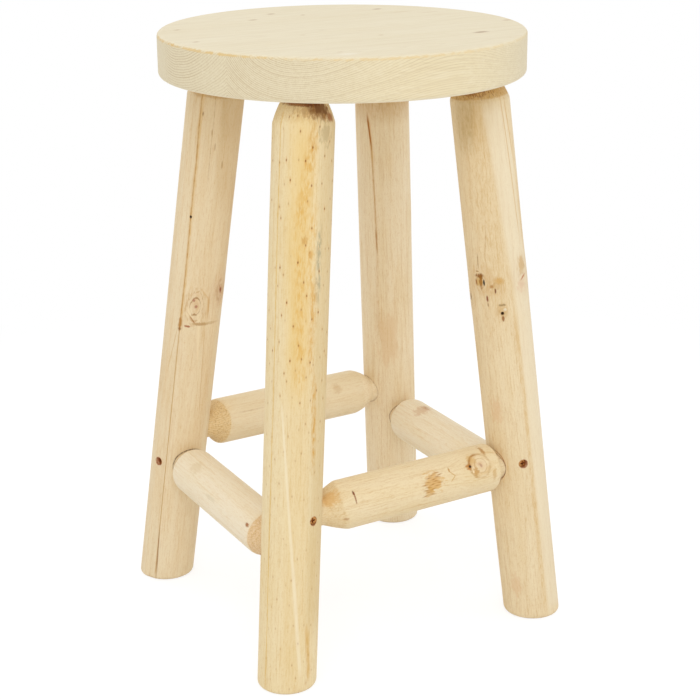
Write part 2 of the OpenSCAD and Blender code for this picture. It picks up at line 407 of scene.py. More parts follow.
@dataclass(frozen=True)
class Knot(Spot):
    """The foot of a branch in the skin: its rings, its halo and the grain that goes round it.

    rise is how far it swells the skin, and part how strongly the grain goes aside.
    """

    kind: KnotKind = KnotKind.RINGED
    rise: float = 0.35
    part: float = 0.6

    def swell(self, turn: np.ndarray, along: np.ndarray, radius: float) -> np.ndarray:
        """How far the knot swells the skin.

        It is rise * (exp(-e^2) - 0.5 exp(-18 e^2)), a bell with a dent in it, where e is the distance
        from the knot's middle in its own widths and lengths.

        Args:
            turn: Turns in radians.
            along: Distances along the log.
            radius: The log's radius.

        Returns:
            Millimetres outward, for each place.
        """
        round_log = half_turn(turn - math.radians(self.turn)) * radius / self.width
        e2 = round_log ** 2 + ((along - self.along) / self.length) ** 2
        return self.rise * (np.exp(-e2) - 0.5 * np.exp(-18.0 * e2))

    def part_grain(self, coat: WoodCoat, shift: object) -> object:
        """Push the grain aside, so that it flows round the knot.

        The push is part * away / (1 + e^2)^2, with e the distance in ellipses wider than the knot.

        Args:
            coat: What is painted so far.
            shift: How far the grain is pushed already, in millimetres round the log.

        Returns:
            The new shift.
        """
        add = coat.painter.add
        e = coat.reach(self.turn, self.along, self.width * 1.7, self.length * 2.4)
        bell = add("Math", add("Math", e, e, 1.0, operation="MULTIPLY_ADD"), -2.0, operation="POWER")
        away = coat.turned(math.radians(self.turn))
        push = add("Math", away, -self.part * coat.radius, operation="MULTIPLY")
        return add("Math", bell, push, shift, operation="MULTIPLY_ADD")

    def paint(self, coat: WoodCoat) -> None:
        """Paint the knot's rings and halo, uneven and broken, and sink them a little.

        Args:
            coat: What is painted so far.
        """
        add = coat.painter.add
        e = self.reach(coat, coat.patches, 1.1)
        e = add("Math", coat.drift, 0.12, e, operation="MULTIPLY_ADD")
        tones = add("ValToRGB", add("Math", e, 1 / HALO, operation="MULTIPLY"), stops=self.kind.value)
        broken = add("MapRange", coat.flecks, 0.36, 0.56, 0.45, 1.15)
        mask = add("Math", tones.outputs["Alpha"], broken, operation="MULTIPLY")
        coat.lay(tones, mask)
        coat.lift(-0.12, mask)


@dataclass(frozen=True)
class Streak(Mark):
    """A line or band along the grain: resin, a pale stripe, a crack, the edge of a ring, and also
    painted shade down one side of a leg and at its top under the seat.

    It runs from one place to another and may widen on the way. Its first and second turn, distance
    and width belong to its two ends. wander is how far the slow noise bends it, patchy how broken
    it is, soft which share of its half width fades out, and fade how long its ends die away.
    """

    turns: tuple[float, float]
    alongs: tuple[float, float]
    widths: tuple[float, float]
    tone: str
    cover: float
    wander: float = 1.0
    patchy: float = 0.0
    soft: float = 1.0
    fade: float = 12.0

    def paint(self, coat: WoodCoat) -> None:
        """Paint the streak, strongest along its middle line.

        Args:
            coat: What is painted so far.
        """
        add = coat.painter.add
        middle = add("MapRange", coat.along, *self.alongs, *(math.radians(t) for t in self.turns))
        away = add("Math", coat.turned(middle), coat.radius, operation="MULTIPLY")
        away = add("Math", coat.drift, self.wander, away, operation="MULTIPLY_ADD")
        half = add("MapRange", coat.along, *self.alongs, self.widths[0] / 2, self.widths[1] / 2)
        share = add("Math", add("Math", away, operation="ABSOLUTE"), half, operation="DIVIDE")
        across = add("MapRange", share, 1.0, 1.0 - self.soft, 0.0, 1.0, interpolation_type="SMOOTHSTEP")
        reach = abs(self.alongs[0] - self.alongs[1]) / 2
        ends = coat.apart(coat.along, sum(self.alongs) / 2)
        ends = add("MapRange", ends, reach + self.fade, reach - self.fade, 0.0, self.cover)
        mask = add("Math", across, ends, operation="MULTIPLY")
        if self.patchy:
            both = add("Math", coat.flecks, 0.8, coat.clouds, operation="MULTIPLY_ADD")
            patch = add("MapRange", both, 0.78, 1.08, 1.0 - self.patchy, 1.0)
            mask = add("Math", mask, patch, operation="MULTIPLY")
        coat.lay(self.tone, mask)


@dataclass(frozen=True)
class StainOrPaintedLight(Spot):
    """A soft patch of another tone, with a ragged edge, and sunk a little where sink says so.

    It paints stains in the wood, and also painted shade under the seat and a painted highlight on a
    knot.
    """

    tone: str
    cover: float
    ragged: float = 0.6
    sink: float = 0.0

    def paint(self, coat: WoodCoat) -> None:
        """Paint the patch, strongest in its middle; a finer noise frays a smaller one.

        Args:
            coat: What is painted so far.
        """
        noise = coat.patches if self.length > 30 else coat.clouds if self.length > 10 else coat.flecks
        e = self.reach(coat, noise, 3.0 * self.ragged)
        mask = coat.painter.add("MapRange", e, 1.1, 0.4, 0.0, self.cover, interpolation_type="SMOOTHSTEP")
        coat.lay(self.tone, mask)
        if self.sink:
            coat.lift(-self.sink, mask)


@dataclass(frozen=True)
class Mouth(Spot):
    """A dark line round the mouth of a hole, darkest towards one side: painted shade in the gap round a
    stretcher's end and down a screw hole's wall, and also the ring of a knot.

    toward is that side, counted in degrees from square across the log to along it, and faint is how
    much shows on the other. line is how wide it is; inside carries it on down the wall of the hole.
    """

    toward: float
    tone: str = "#7A4220"
    cover: float = 0.8
    faint: float = 0.35
    line: float = 0.9
    inside: bool = False

    def paint(self, coat: WoodCoat) -> None:
        """Paint the line, strong on one side and faint on the other.

        Args:
            coat: What is painted so far.
        """
        add = coat.painter.add
        place = coat.spot(self.turn, self.along, self.width, self.length)
        e = add("VectorMath", place, operation="LENGTH")
        share = 2 * self.line / self.width
        edge = 1.0 if self.inside else 0.0
        if not self.inside:
            e = coat.apart(e, 1.0)
        ring = add("MapRange", e, edge + share, edge, 0.0, 1.0)
        way = math.radians(self.toward)
        heading = add("VectorMath", add("VectorMath", place, operation="NORMALIZE"),
                      (math.cos(way), math.sin(way), 0), operation="DOT_PRODUCT")
        side = add("MapRange", heading, 0.1, 0.85, self.faint, self.cover)
        frayed = add("MapRange", coat.flecks, 0.38, 0.55, 0.4, 1.0)
        ring = add("Math", add("Math", ring, side, operation="MULTIPLY"), frayed, operation="MULTIPLY")
        coat.lay(self.tone, ring)


@dataclass(frozen=True)
class NeedleDots(Mark):
    """The small dark dots that needle bundles leave in the wood of a young pine stem.

    They stand in spiral rows. Two steps carry a dot onto its neighbours, each a turn in degrees and
    a distance along, and 30 of the second less 19 of the first go once round the log. halo is how
    much of the stain round each dot shows, and below strong_above the dots are weaker.
    """

    cover: float
    first_along: float
    first_turn: float
    halo: float
    tone: str
    strong_above: float
    near_turn: float = -3.1
    near_along: float = -31.0
    width: float = 1.6
    length: float = 3.0

    def paint(self, coat: WoodCoat) -> None:
        """Paint each dot somewhere in its cell, some dots weaker than others, and weak low on the log.

        Args:
            coat: What is painted so far.
        """
        add = coat.painter.add
        row_turn = (360 + 19 * self.near_turn) / 30
        row_along = 19 * self.near_along / 30
        area = self.near_turn * row_along - self.near_along * row_turn
        turn = add("Math", coat.turn, 180 / math.pi, -self.first_turn, operation="MULTIPLY_ADD")
        along = add("Math", coat.along, self.first_along, operation="SUBTRACT")
        first = add("Math", along, -row_turn / area, operation="MULTIPLY")
        first = add("Math", turn, row_along / area, first, operation="MULTIPLY_ADD")
        second = add("Math", along, self.near_turn / area, operation="MULTIPLY")
        second = add("Math", turn, -self.near_along / area, second, operation="MULTIPLY_ADD")
        place = add("CombineXYZ", first, second)
        chance = add("TexWhiteNoise", add("VectorMath", place, operation="FLOOR"))
        spot = add("VectorMath", chance.outputs["Color"], (0.5, 0.5, 0.5), operation="SUBTRACT")
        spot = add("VectorMath", spot, (0.6, 0.6, 0.0), (0.5, 0.5, 0.0), operation="MULTIPLY_ADD")
        off = add("VectorMath", add("VectorMath", place, operation="FRACTION"), spot, operation="SUBTRACT")
        arc = math.radians(1) * coat.radius * 2 / self.width
        across = add("VectorMath", off, (self.near_turn * arc, row_turn * arc, 0), operation="DOT_PRODUCT")
        up = (self.near_along * 2 / self.length, row_along * 2 / self.length, 0)
        away = add("CombineXYZ", across, add("VectorMath", off, up, operation="DOT_PRODUCT"))
        strength = add("MapRange", chance, 0.2, 0.95, 0.1, 1.0)
        low = add("MapRange", coat.along, self.strong_above - 60, self.strong_above + 30, 0.35, 1.0)
        strength = add("Math", strength, low, operation="MULTIPLY")
        glow = add("VectorMath", add("VectorMath", away, (0.6, 0.3, 0), operation="MULTIPLY"),
                   operation="LENGTH")
        glow = add("MapRange", glow, 1.1, 0.1, 0.0, self.halo, interpolation_type="SMOOTHSTEP")
        coat.lay("#CF8F3C", add("Math", glow, strength, operation="MULTIPLY"))
        dot = add("VectorMath", away, operation="LENGTH")
        dot = add("MapRange", dot, 1.15, 0.3, 0.0, self.cover, interpolation_type="SMOOTHSTEP")
        dot = add("Math", dot, strength, operation="MULTIPLY")
        coat.lay(self.tone, dot)
        coat.lift(-0.15, dot)


@dataclass(frozen=True)
class Pit(Mark):
    """A small round hole in the skin, where a dead twig has dropped out."""

    turn: float
    along: float
    width: float
    depth: float

    def paint(self, coat: WoodCoat) -> None:
        """Paint the inside of the hole dark."""
        e = coat.reach(self.turn, self.along, self.width, self.width)
        coat.lay("#42290F", coat.painter.add("MapRange", e, 1.25, 0.8, 0.0, 0.95))


@dataclass(frozen=True)
class LogFigure:
    """How the wood of one log is figured: its tones, its rings and all that marks its skin, with the
    shade and the highlight that are painted on it.

    cut, cut_rings and pith each hold a value for the log's start and one for its end. curl is how
    much the grain waves, and curly adds to it over a stretch: where that starts and ends, and how
    much.
    """

    base: str = "#E9D2A6"
    pale: str = "#EFDDB8"
    warm: str = "#E0C08A"
    late: str = "#C8984E"
    cut: tuple[str, str] = ("#D8B57C", "#D8B57C")
    cut_rings: tuple[float, float] = (0.3, 0.3)
    pith: tuple[tuple[float, float], tuple[float, float]] = ((2.0, 1.0), (-1.0, 2.0))
    ring: float = 2.3
    ring_cover: float = 0.2
    warp: float = 3.0
    warmth: float = 0.4
    curl: float = 0.15
    curly: tuple[float, float, float] = (0.0, 0.0, 0.0)
    seed: float = 0.0
    knots: tuple[Knot, ...] = ()
    marks: tuple[Mark, ...] = ()
    pits: tuple[Pit, ...] = ()


# How large each noise of a log is in X, Y and Z in grain coordinates, and how many finer ones it
# carries.
LOG_NOISES = {
    "slow": ((26, 26, 130), 2), "broad": ((5, 5, 210), 2), "patches": ((4.5, 4.5, 24), 3),
    "clouds": ((3, 3, 7), 4), "strands": ((1.6, 1.6, 60), 2), "flecks": ((1.2, 1.2, 8), 3),
    "grit": ((1.3, 1.3, 1.9), 2),
}

# From which level of a noise its fibres start to show, at which they show most, and how much.
LOG_FIBRES = (("strands", 0.53, 0.70, 0.28), ("flecks", 0.52, 0.74, 0.30), ("grit", 0.52, 0.80, 0.25))

# How dark the wood is through one year of a log.
LOG_YEAR = ((0.0, "#000000"), (0.40, "#101010"), (0.72, "#8A8A8A"), (0.90, "#FFFFFF"), (1.0, "#000000"))


# Peeled pine log: the bark is off and the skin is sanded along the grain but not finished, so it is
# pale and dull, with long flames where the sanding cuts through a year's ring, fine fibre streaks,
# knots and needle dots. Its cones are turned across the grain, so they are rougher and show the
# rings as arcs.
@dataclass(frozen=True)
class PeeledPine:
    """The finish of one log, painted in the log's own coordinates in millimetres."""

    figure: LogFigure

    def dress(self, piece: bpy.types.Object, axes: Matrix, radius: float, length: float) -> None:
        """Make the material and put it on the log.

        Args:
            piece: The log's object.
            axes: The log's own frame in metres: its columns are its facing, its side, its axis
                and where its axis starts.
            radius: The log's radius.
            length: The log's length.
        """
        figure = self.figure
        painter = Painter(bpy.data.materials.new("peeled_pine_" + piece.name))
        add = painter.add
        local = add("Mapping", add("TexCoord").outputs["Object"], axes.to_translation(), axes.to_euler(),
                    (MM, MM, MM), vector_type="TEXTURE")
        x, y, along = add("SeparateXYZ", local).outputs
        out = add("VectorMath", add("VectorMath", local, (1, 1, 0), operation="MULTIPLY"), operation="LENGTH")
        turn = add("Math", y, x, operation="ARCTAN2")
        coat = WoodCoat(painter, radius, linear(figure.pale), turn, along)
        grain = self._grain(coat, local, out)
        noise = coat.noises(grain, LOG_NOISES)
        coat.drift = add("Math", noise["slow"], 4.0, -2.0, operation="MULTIPLY_ADD")
        coat.patches, coat.clouds, coat.flecks = noise["patches"], noise["clouds"], noise["flecks"]
        late = self._rings(coat, grain, length)

        # Where the cutter went under the skin, and which of the log's two halves it is in.
        cut = add("MapRange", out, radius - 0.95, radius - 1.6, 0.0, 1.0)
        far = add("Math", along, length / 2, operation="GREATER_THAN")
        cut_tone = add("Mix", far, *(linear(tone) for tone in figure.cut), data_type="RGBA")
        coat.lay(figure.base, noise["broad"])
        coat.lay(figure.warm, add("MapRange", noise["slow"], 0.42, 0.68, 0.0, figure.warmth))
        coat.lay(cut_tone, add("Math", cut, 0.7, operation="MULTIPLY"))
        cut_rings = add("MapRange", far, 0.0, 1.0, *figure.cut_rings)
        showing = add("MapRange", cut, 0.0, 1.0, figure.ring_cover, cut_rings)
        coat.lay(figure.late, add("Math", late, showing, operation="MULTIPLY"))
        coat.fibres(noise, LOG_FIBRES, figure.late, figure.pale)
        torn = add("MapRange", noise["grit"], 0.5, 0.7, 0.0, 0.4)
        torn = add("Math", torn, cut_rings, operation="MULTIPLY")
        coat.lay("#A06C32", add("Math", torn, cut, operation="MULTIPLY"))
        heights = ((0.10, coat.flecks), (0.08, noise["grit"]), (0.10, noise["broad"]), (0.05, late))
        for height, mask in heights:
            coat.lift(height, mask)
        for mark in (*figure.knots, *figure.marks, *figure.pits):
            mark.paint(coat)
        coat.finish(piece, coat.flecks, (0.58, 0.74))

    def _grain(self, coat: WoodCoat, local: object, out: object) -> bpy.types.Node:
        """Bend the log's straight grain round its knots, and curl it where it is figured.

        Args:
            coat: What is painted so far.
            local: The place in the log.
            out: How far it is from the axis.

        Returns:
            The node that gives the place in grain coordinates, whose third axis follows the fibres.
        """
        add = coat.painter.add
        curl = add("VectorMath", local, (1 / 7, 1 / 7, 1 / 8), operation="MULTIPLY")
        curl = add("TexNoise", curl, 1.0, 1.0)
        start, end, more = self.figure.curly
        off = coat.apart(coat.along, (start + end) / 2)
        reach = (end - start) / 2
        most = add("MapRange", off, reach + 30, reach - 10, self.figure.curl, self.figure.curl + more)
        curl = add("Math", curl, 0.5, operation="SUBTRACT")
        curl = add("Math", curl, add("Math", most, 8.0, operation="MULTIPLY"), operation="MULTIPLY")
        for knot in self.figure.knots:
            curl = knot.part_grain(coat, curl)
        angle = add("Math", curl, 1 / coat.radius, coat.turn, operation="MULTIPLY_ADD")
        across = [
            add("Math", out, add("Math", angle, operation=wave), operation="MULTIPLY")
            for wave in ("COSINE", "SINE")
        ]
        return add("CombineXYZ", *across, add("Math", coat.along, 1000.0 * self.figure.seed, operation="ADD"))

    def _rings(self, coat: WoodCoat, grain: object, length: float) -> bpy.types.Node:
        """Where the dark late wood of each year lies.

        The rings are tubes round a pith that wanders from one place at the log's start to another
        at its end, and each year ends in a thin dark line.

        Args:
            coat: What is painted so far.
            grain: The place in grain coordinates.
            length: The log's length.

        Returns:
            The node that is 1 in the darkest late wood.
        """
        figure = self.figure
        add = coat.painter.add
        (x0, y0), (x1, y1) = figure.pith
        pith = add("CombineXYZ", coat.along, coat.along)
        pith = add("VectorMath", pith, ((x1 - x0) / length, (y1 - y0) / length, 0), (x0, y0, 0),
                   operation="MULTIPLY_ADD")
        away = add("VectorMath", grain, pith, operation="SUBTRACT")
        away = add("VectorMath", away, (1, 1, 0), operation="MULTIPLY")
        away = add("VectorMath", away, operation="LENGTH")
        away = add("Math", coat.drift, figure.warp / 2, away, operation="MULTIPLY_ADD")
        away = add("Math", coat.patches, figure.warp * 0.4, away, operation="MULTIPLY_ADD")
        return coat.year_rings(away, figure.ring, LOG_YEAR, (0.35, 1.0), "EASE")


@dataclass(frozen=True)
class BoardFigure:
    """How one seat board was sawn: where its rings are centred and how they run.

    Rings are tubes round a line at (y, z) that runs along X, and they widen by taper for each
    millimetre of X. Each strong ring has a radius and a width.
    """

    centre: tuple[float, float]
    ring: float
    taper: float
    warp: float
    seed: float
    strong: tuple[tuple[float, float], ...] = ()


@dataclass(frozen=True)
class Fleck:
    """A small dark mark in the seat's top: a pin knot or a torn fibre."""

    x: float
    y: float
    length: float
    width: float
    tone: str = "#B08A58"
    cover: float = 0.8


# How large each noise of a board is in X, Y and Z, and how many finer ones it carries.
BOARD_NOISES = {
    "slow": ((120, 30, 30), 2), "hairs": ((26, 0.9, 0.9), 3), "strands": ((90, 3, 3), 2),
    "pores": ((1.3, 1.1, 1.1), 2),
}

# From which level of a noise its fibres start to show, at which they show most, and how much.
BOARD_FIBRES = (("hairs", 0.54, 0.78, 0.18), ("strands", 0.52, 0.74, 0.10))

# How dark the wood is through one year of a board.
BOARD_YEAR = (
    (0.0, "#000000"), (0.46, "#060606"), (0.66, "#707070"), (0.78, "#FFFFFF"), (0.94, "#202020"),
    (1.0, "#000000"),
)

# How clearly the rim shows its rings, by the share of the way round the seat.
RIM_COVERS = (
    (0.00, 0.95), (0.03, 0.95), (0.045, 0.5), (0.066, 0.5), (0.073, 1.0), (0.13, 0.85), (0.20, 0.5),
    (0.28, 0.28), (0.46, 0.28), (0.49, 0.55), (0.58, 0.55), (0.64, 0.25), (0.95, 0.2), (0.975, 0.15),
    (0.99, 0.9),
)

# The golden line on the rim's top edge, by the share of the way round the seat.
EDGE_TONES = (
    (0.00, "#DFBC78", 0.6), (0.06, "#DFBC78", 0.75), (0.10, "#E0BE7C", 0.65), (0.15, "#E2C284", 0.5),
    (0.25, "#E4C68A", 0.5), (0.34, "#E6CC94", 0.3), (0.45, "#DFC288", 0.4), (0.60, "#D8B06A", 0.5),
    (0.72, "#E0C488", 0.4), (0.90, "#DDB66C", 0.55), (1.00, "#DDB66C", 0.75),
)


# Sanded pine board: planed flat, edge glued and sanded, with no finish. The top is almost white and
# shows the rings only faintly. The rim is darker where it cuts the fibres across, and shows each
# year's ring as a thin brown line.
@dataclass(frozen=True)
class SandedPine:
    """The finish of one seat board, painted in the seat's frame in millimetres."""

    figure: BoardFigure
    flecks: tuple[Fleck, ...] = ()
    base: str = "#E9DCBC"
    pale: str = "#EEE4C9"
    rim: str = "#E6D7B1"
    end: str = "#E0D5B8"
    late: str = "#AE8C58"
    bright: str = "#F3EAD4"
    pore: str = "#C0A87C"

    def dress(self, piece: bpy.types.Object) -> None:
        """Make the material and put it on the board.

        Args:
            piece: The board's object.
        """
        painter = Painter(bpy.data.materials.new("sanded_pine_" + piece.name))
        add = painter.add
        coat = WoodCoat(painter, SEAT_RADIUS, linear(self.pale))
        spot = add("TexCoord")
        local = add("VectorMath", spot.outputs["Object"], (1 / MM, 1 / MM, 1 / MM), operation="MULTIPLY")
        moved = add("VectorMath", local, (1000.0 * self.figure.seed, 0, 0), operation="ADD")
        noise = coat.noises(moved, BOARD_NOISES)
        late = self._rings(coat, local, noise["slow"])
        x, y, _ = add("SeparateXYZ", local).outputs
        plan = add("Math", y, x, operation="ARCTAN2")
        plan = add("Math", plan, 0.5 / math.pi, 0.5, operation="MULTIPLY_ADD")

        # How far the surface is the rim, and how far the rim there is end grain.
        across, _, upright = add("SeparateXYZ", spot.outputs["Normal"]).outputs
        side = add("MapRange", add("Math", upright, operation="ABSOLUTE"), 0.8, 0.25, 0.0, 1.0)
        end = add("MapRange", add("Math", across, operation="ABSOLUTE"), 0.15, 0.8, 0.0, 1.0,
                  interpolation_type="SMOOTHSTEP")
        end = add("Math", end, side, operation="MULTIPLY")

        coat.lay(self.base, noise["slow"])
        coat.lay(self.rim, add("Math", side, 0.85, operation="MULTIPLY"))
        coat.lay(self.end, add("Math", end, 0.6, operation="MULTIPLY"))
        showing = add("ValToRGB", plan, stops=[(place, "#000000", cover) for place, cover in RIM_COVERS])
        showing = add("Math", side, showing.outputs["Alpha"], 0.09, operation="MULTIPLY_ADD")
        coat.lay(self.late, add("Math", late, showing, operation="MULTIPLY"))
        coat.fibres(noise, BOARD_FIBRES, self.late, self.bright, 2)
        pores = add("Math", end, add("MapRange", noise["pores"], 0.5, 0.72, 0.0, 0.25), operation="MULTIPLY")
        coat.lay(self.pore, pores)
        self._paint_edge(coat, local, plan)
        for fleck in self.flecks:
            self._paint_fleck(coat, local, fleck)
        coat.lift(0.06, noise["hairs"])
        coat.lift(0.06, late)
        coat.finish(piece, noise["hairs"], (0.54, 0.68))

    def _rings(self, coat: WoodCoat, local: object, slow: object) -> bpy.types.Node:
        """Where the dark late wood of each year lies.

        Args:
            coat: What is painted so far.
            local: The place in millimetres.
            slow: The noise that lets the rings wander.

        Returns:
            The node that is 1 in the darkest late wood.
        """
        figure = self.figure
        add = coat.painter.add
        away = add("VectorMath", local, (0, *figure.centre), operation="SUBTRACT")
        away = add("VectorMath", away, (0, 1, 1), operation="MULTIPLY")
        away = add("VectorMath", away, operation="LENGTH")
        away = add("Math", add("SeparateXYZ", local), figure.taper, away, operation="MULTIPLY_ADD")
        away = add("Math", slow, figure.warp, away, operation="MULTIPLY_ADD")
        away = add("Math", away, figure.warp / 2, operation="SUBTRACT")
        late = coat.year_rings(away, figure.ring, BOARD_YEAR, (0.4, 0.95))
        for radius, width in figure.strong:
            strong = add("MapRange", coat.apart(away, radius), width, width * 0.3, 0.0, 0.4)
            late = add("Math", late, strong, operation="MAXIMUM")
        return late

    def _paint_edge(self, coat: WoodCoat, local: object, plan: object) -> None:
        """Paint the broken golden line that the rounding tool left along the top edge of the rim.

        Args:
            coat: What is painted so far.
            local: The place in millimetres.
            plan: The share of the way round the seat, from its left side through its front.
        """
        add = coat.painter.add
        ragged = add("VectorMath", local, (1 / 3, 1 / 3, 1 / 2), operation="MULTIPLY")
        ragged = add("TexNoise", ragged, 1.0, 3.0, 0.65)
        height = add("SeparateXYZ", local).outputs["Z"]
        level = add("Math", ragged, 3.4, height, operation="MULTIPLY_ADD")
        off = coat.apart(level, SEAT_TOP - 0.6)
        band = add("MapRange", off, 1.5, 0.6, 0.0, 1.0, interpolation_type="SMOOTHSTEP")
        broken = add("VectorMath", local, (1 / 9, 1 / 9, 1 / 9), operation="MULTIPLY")
        broken = add("TexNoise", broken, 1.0, 2.0)
        broken = add("MapRange", broken, 0.42, 0.56, 0.2, 1.0)
        tones = add("ValToRGB", plan, stops=EDGE_TONES)
        mask = add("Math", band, broken, operation="MULTIPLY")
        coat.lay(tones, add("Math", mask, tones.outputs["Alpha"], operation="MULTIPLY"))

    def _paint_fleck(self, coat: WoodCoat, local: object, fleck: Fleck) -> None:
        """Paint one fleck on the top, an ellipse along the grain.

        Args:
            coat: What is painted so far.
            local: The place in millimetres.
            fleck: The fleck.
        """
        add = coat.painter.add
        shares = (2 / fleck.length, 2 / fleck.width, 1 / 8)
        middle = (-2 * fleck.x / fleck.length, -2 * fleck.y / fleck.width, -SEAT_TOP / 8)
        away = add("VectorMath", local, shares, middle, operation="MULTIPLY_ADD")
        away = add("VectorMath", away, operation="LENGTH")
        mask = add("MapRange", away, 1.3, 0.1, 0.0, fleck.cover, interpolation_type="SMOOTHSTEP")
        coat.lay(fleck.tone, mask)
        coat.lift(-0.1, mask)


# Yellow zinc plated steel: a thin plating with a brassy, slightly uneven sheen over a cold-headed
# screw, in small clouds that run from the bright plating to a duller brown.
@dataclass(frozen=True)
class YellowZincSteel:
    """The finish of the pin screws."""

    plating: str = "#DCA868"
    dull: str = "#9A5A2C"

    def dress(self, piece: bpy.types.Object) -> None:
        """Make the material and put it on a node of screws in place of its plain one.

        Args:
            piece: The node's object.
        """
        painter = Painter(bpy.data.materials.new("yellow_zinc_steel_" + piece.name))
        add = painter.add
        cloud = add("TexNoise", add("TexCoord").outputs["Object"], 900.0, 3.0)
        tone = add("Mix", cloud, linear(self.plating), linear(self.dull), data_type="RGBA")
        rough = add("MapRange", cloud, 0.3, 0.7, 0.28, 0.5)
        bump = add("Bump", at={"Strength": 0.4, "Distance": 0.05 * MM, "Height": cloud})
        skin = add("BsdfPrincipled", at={"Base Color": tone, "Roughness": rough, "Normal": bump,
                                         "Metallic": 1.0})
        add("OutputMaterial", skin)
        piece.data.materials.clear()
        piece.data.materials.append(painter.owner)


@dataclass(frozen=True)
class Corner:
    """A corner of a log's outline: how far along, how far out, and how far back it is eased."""

    along: float
    out: float
    ease: float = 0.0


def outline(corners: Sequence[Corner], step: float) -> np.ndarray:
    """Points along an outline whose corners are eased.

    A corner P whose easing starts at A and ends at B becomes (1-t)^2 A + 2t(1-t) P + t^2 B.

    Args:
        corners: The outline's corners in order.
        step: The longest step between points on a straight run.

    Returns:
        One row for each point: how far along and how far out.
    """
    places = np.array([(c.along, c.out) for c in corners])
    t = np.linspace(0, 1, 7)[:-1, None]
    runs: list[np.ndarray] = []
    last = places[0]
    for before, place, after, corner in zip(places, places[1:], places[2:], corners[1:]):
        start = place + unit(before - place) * corner.ease
        end = place + unit(after - place) * corner.ease
        count = max(2, math.ceil(np.linalg.norm(start - last) / step) + 1)
        runs.append(np.linspace(last, start, count)[:-1])
        runs.append((1 - t) ** 2 * start + 2 * t * (1 - t) * place + t ** 2 * end)
        last = end
    count = max(2, math.ceil(np.linalg.norm(places[-1] - last) / step) + 1)
    return np.concatenate([*runs, np.linspace(last, places[-1], count)])


def mesh_from(name: str, points: np.ndarray, faces: list, sharp: float) -> bpy.types.Object:
    """Make an object at the origin from points in millimetres.

    Args:
        name: The piece's name.
        points: One row for each vertex.
        faces: Lists of vertex numbers.
        sharp: The angle over which an edge stays sharp, in degrees.

    Returns:
        The new object.
    """
    mesh = bpy.data.meshes.new(name)
    mesh.from_pydata(points * MM, [], faces)
    mesh.update()
    mesh.shade_smooth()
    mesh.set_sharp_from_angle(angle=math.radians(sharp))
    piece = bpy.data.objects.new(name, mesh)
    bpy.context.scene.collection.objects.link(piece)
    return piece


def tube_faces(rows: int, columns: int) -> list:
    """Faces of a grid that goes round and is closed at both ends by the two last vertices.

    Args:
        rows: Rings of vertices from the start to the end.
        columns: Vertices in a ring.

    Returns:
        Lists of vertex numbers, turned outward.
    """
    at = np.arange(rows * columns).reshape(rows, columns)
    ahead = np.roll(at, -1, axis=1)
    quads = np.stack([at[:-1], ahead[:-1], ahead[1:], at[1:]], axis=-1).reshape(-1, 4)
    start, end = np.full(columns, rows * columns), np.full(columns, rows * columns + 1)
    fans = np.concatenate([
        np.stack([start, ahead[0], at[0]], axis=-1),
        np.stack([end, at[-1], ahead[-1]], axis=-1),
    ])
    return quads.tolist() + fans.tolist()


@dataclass(frozen=True)
class Bore:
    """A blind round hole worked into a log's skin.

    entry and way give where its axis meets the skin and its unit way in. wall lists, ring by ring
    from the rim inward, a radius and a depth; the first on_skin of them follow the curved skin, and
    the last is carried on as a flat floor. rings is how many rings of the grid the hole takes up,
    and blend how many more go from its circle back to the even grid.
    """

    entry: np.ndarray
    way: np.ndarray
    wall: tuple[tuple[float, float], ...]
    rings: int
    blend: int
    on_skin: int = 2


@dataclass(frozen=True)
class Cone:
    """How the cutter left one cone of a log.

    The cone's wide end lies nearer the log's end by pull, and by slant more on the side that toward
    looks to, as a turn. Half way down, its side bulges out.
    """

    pull: float = 0.0
    slant: float = 0.0
    toward: float = 0.0
    bulge: float = 0.0


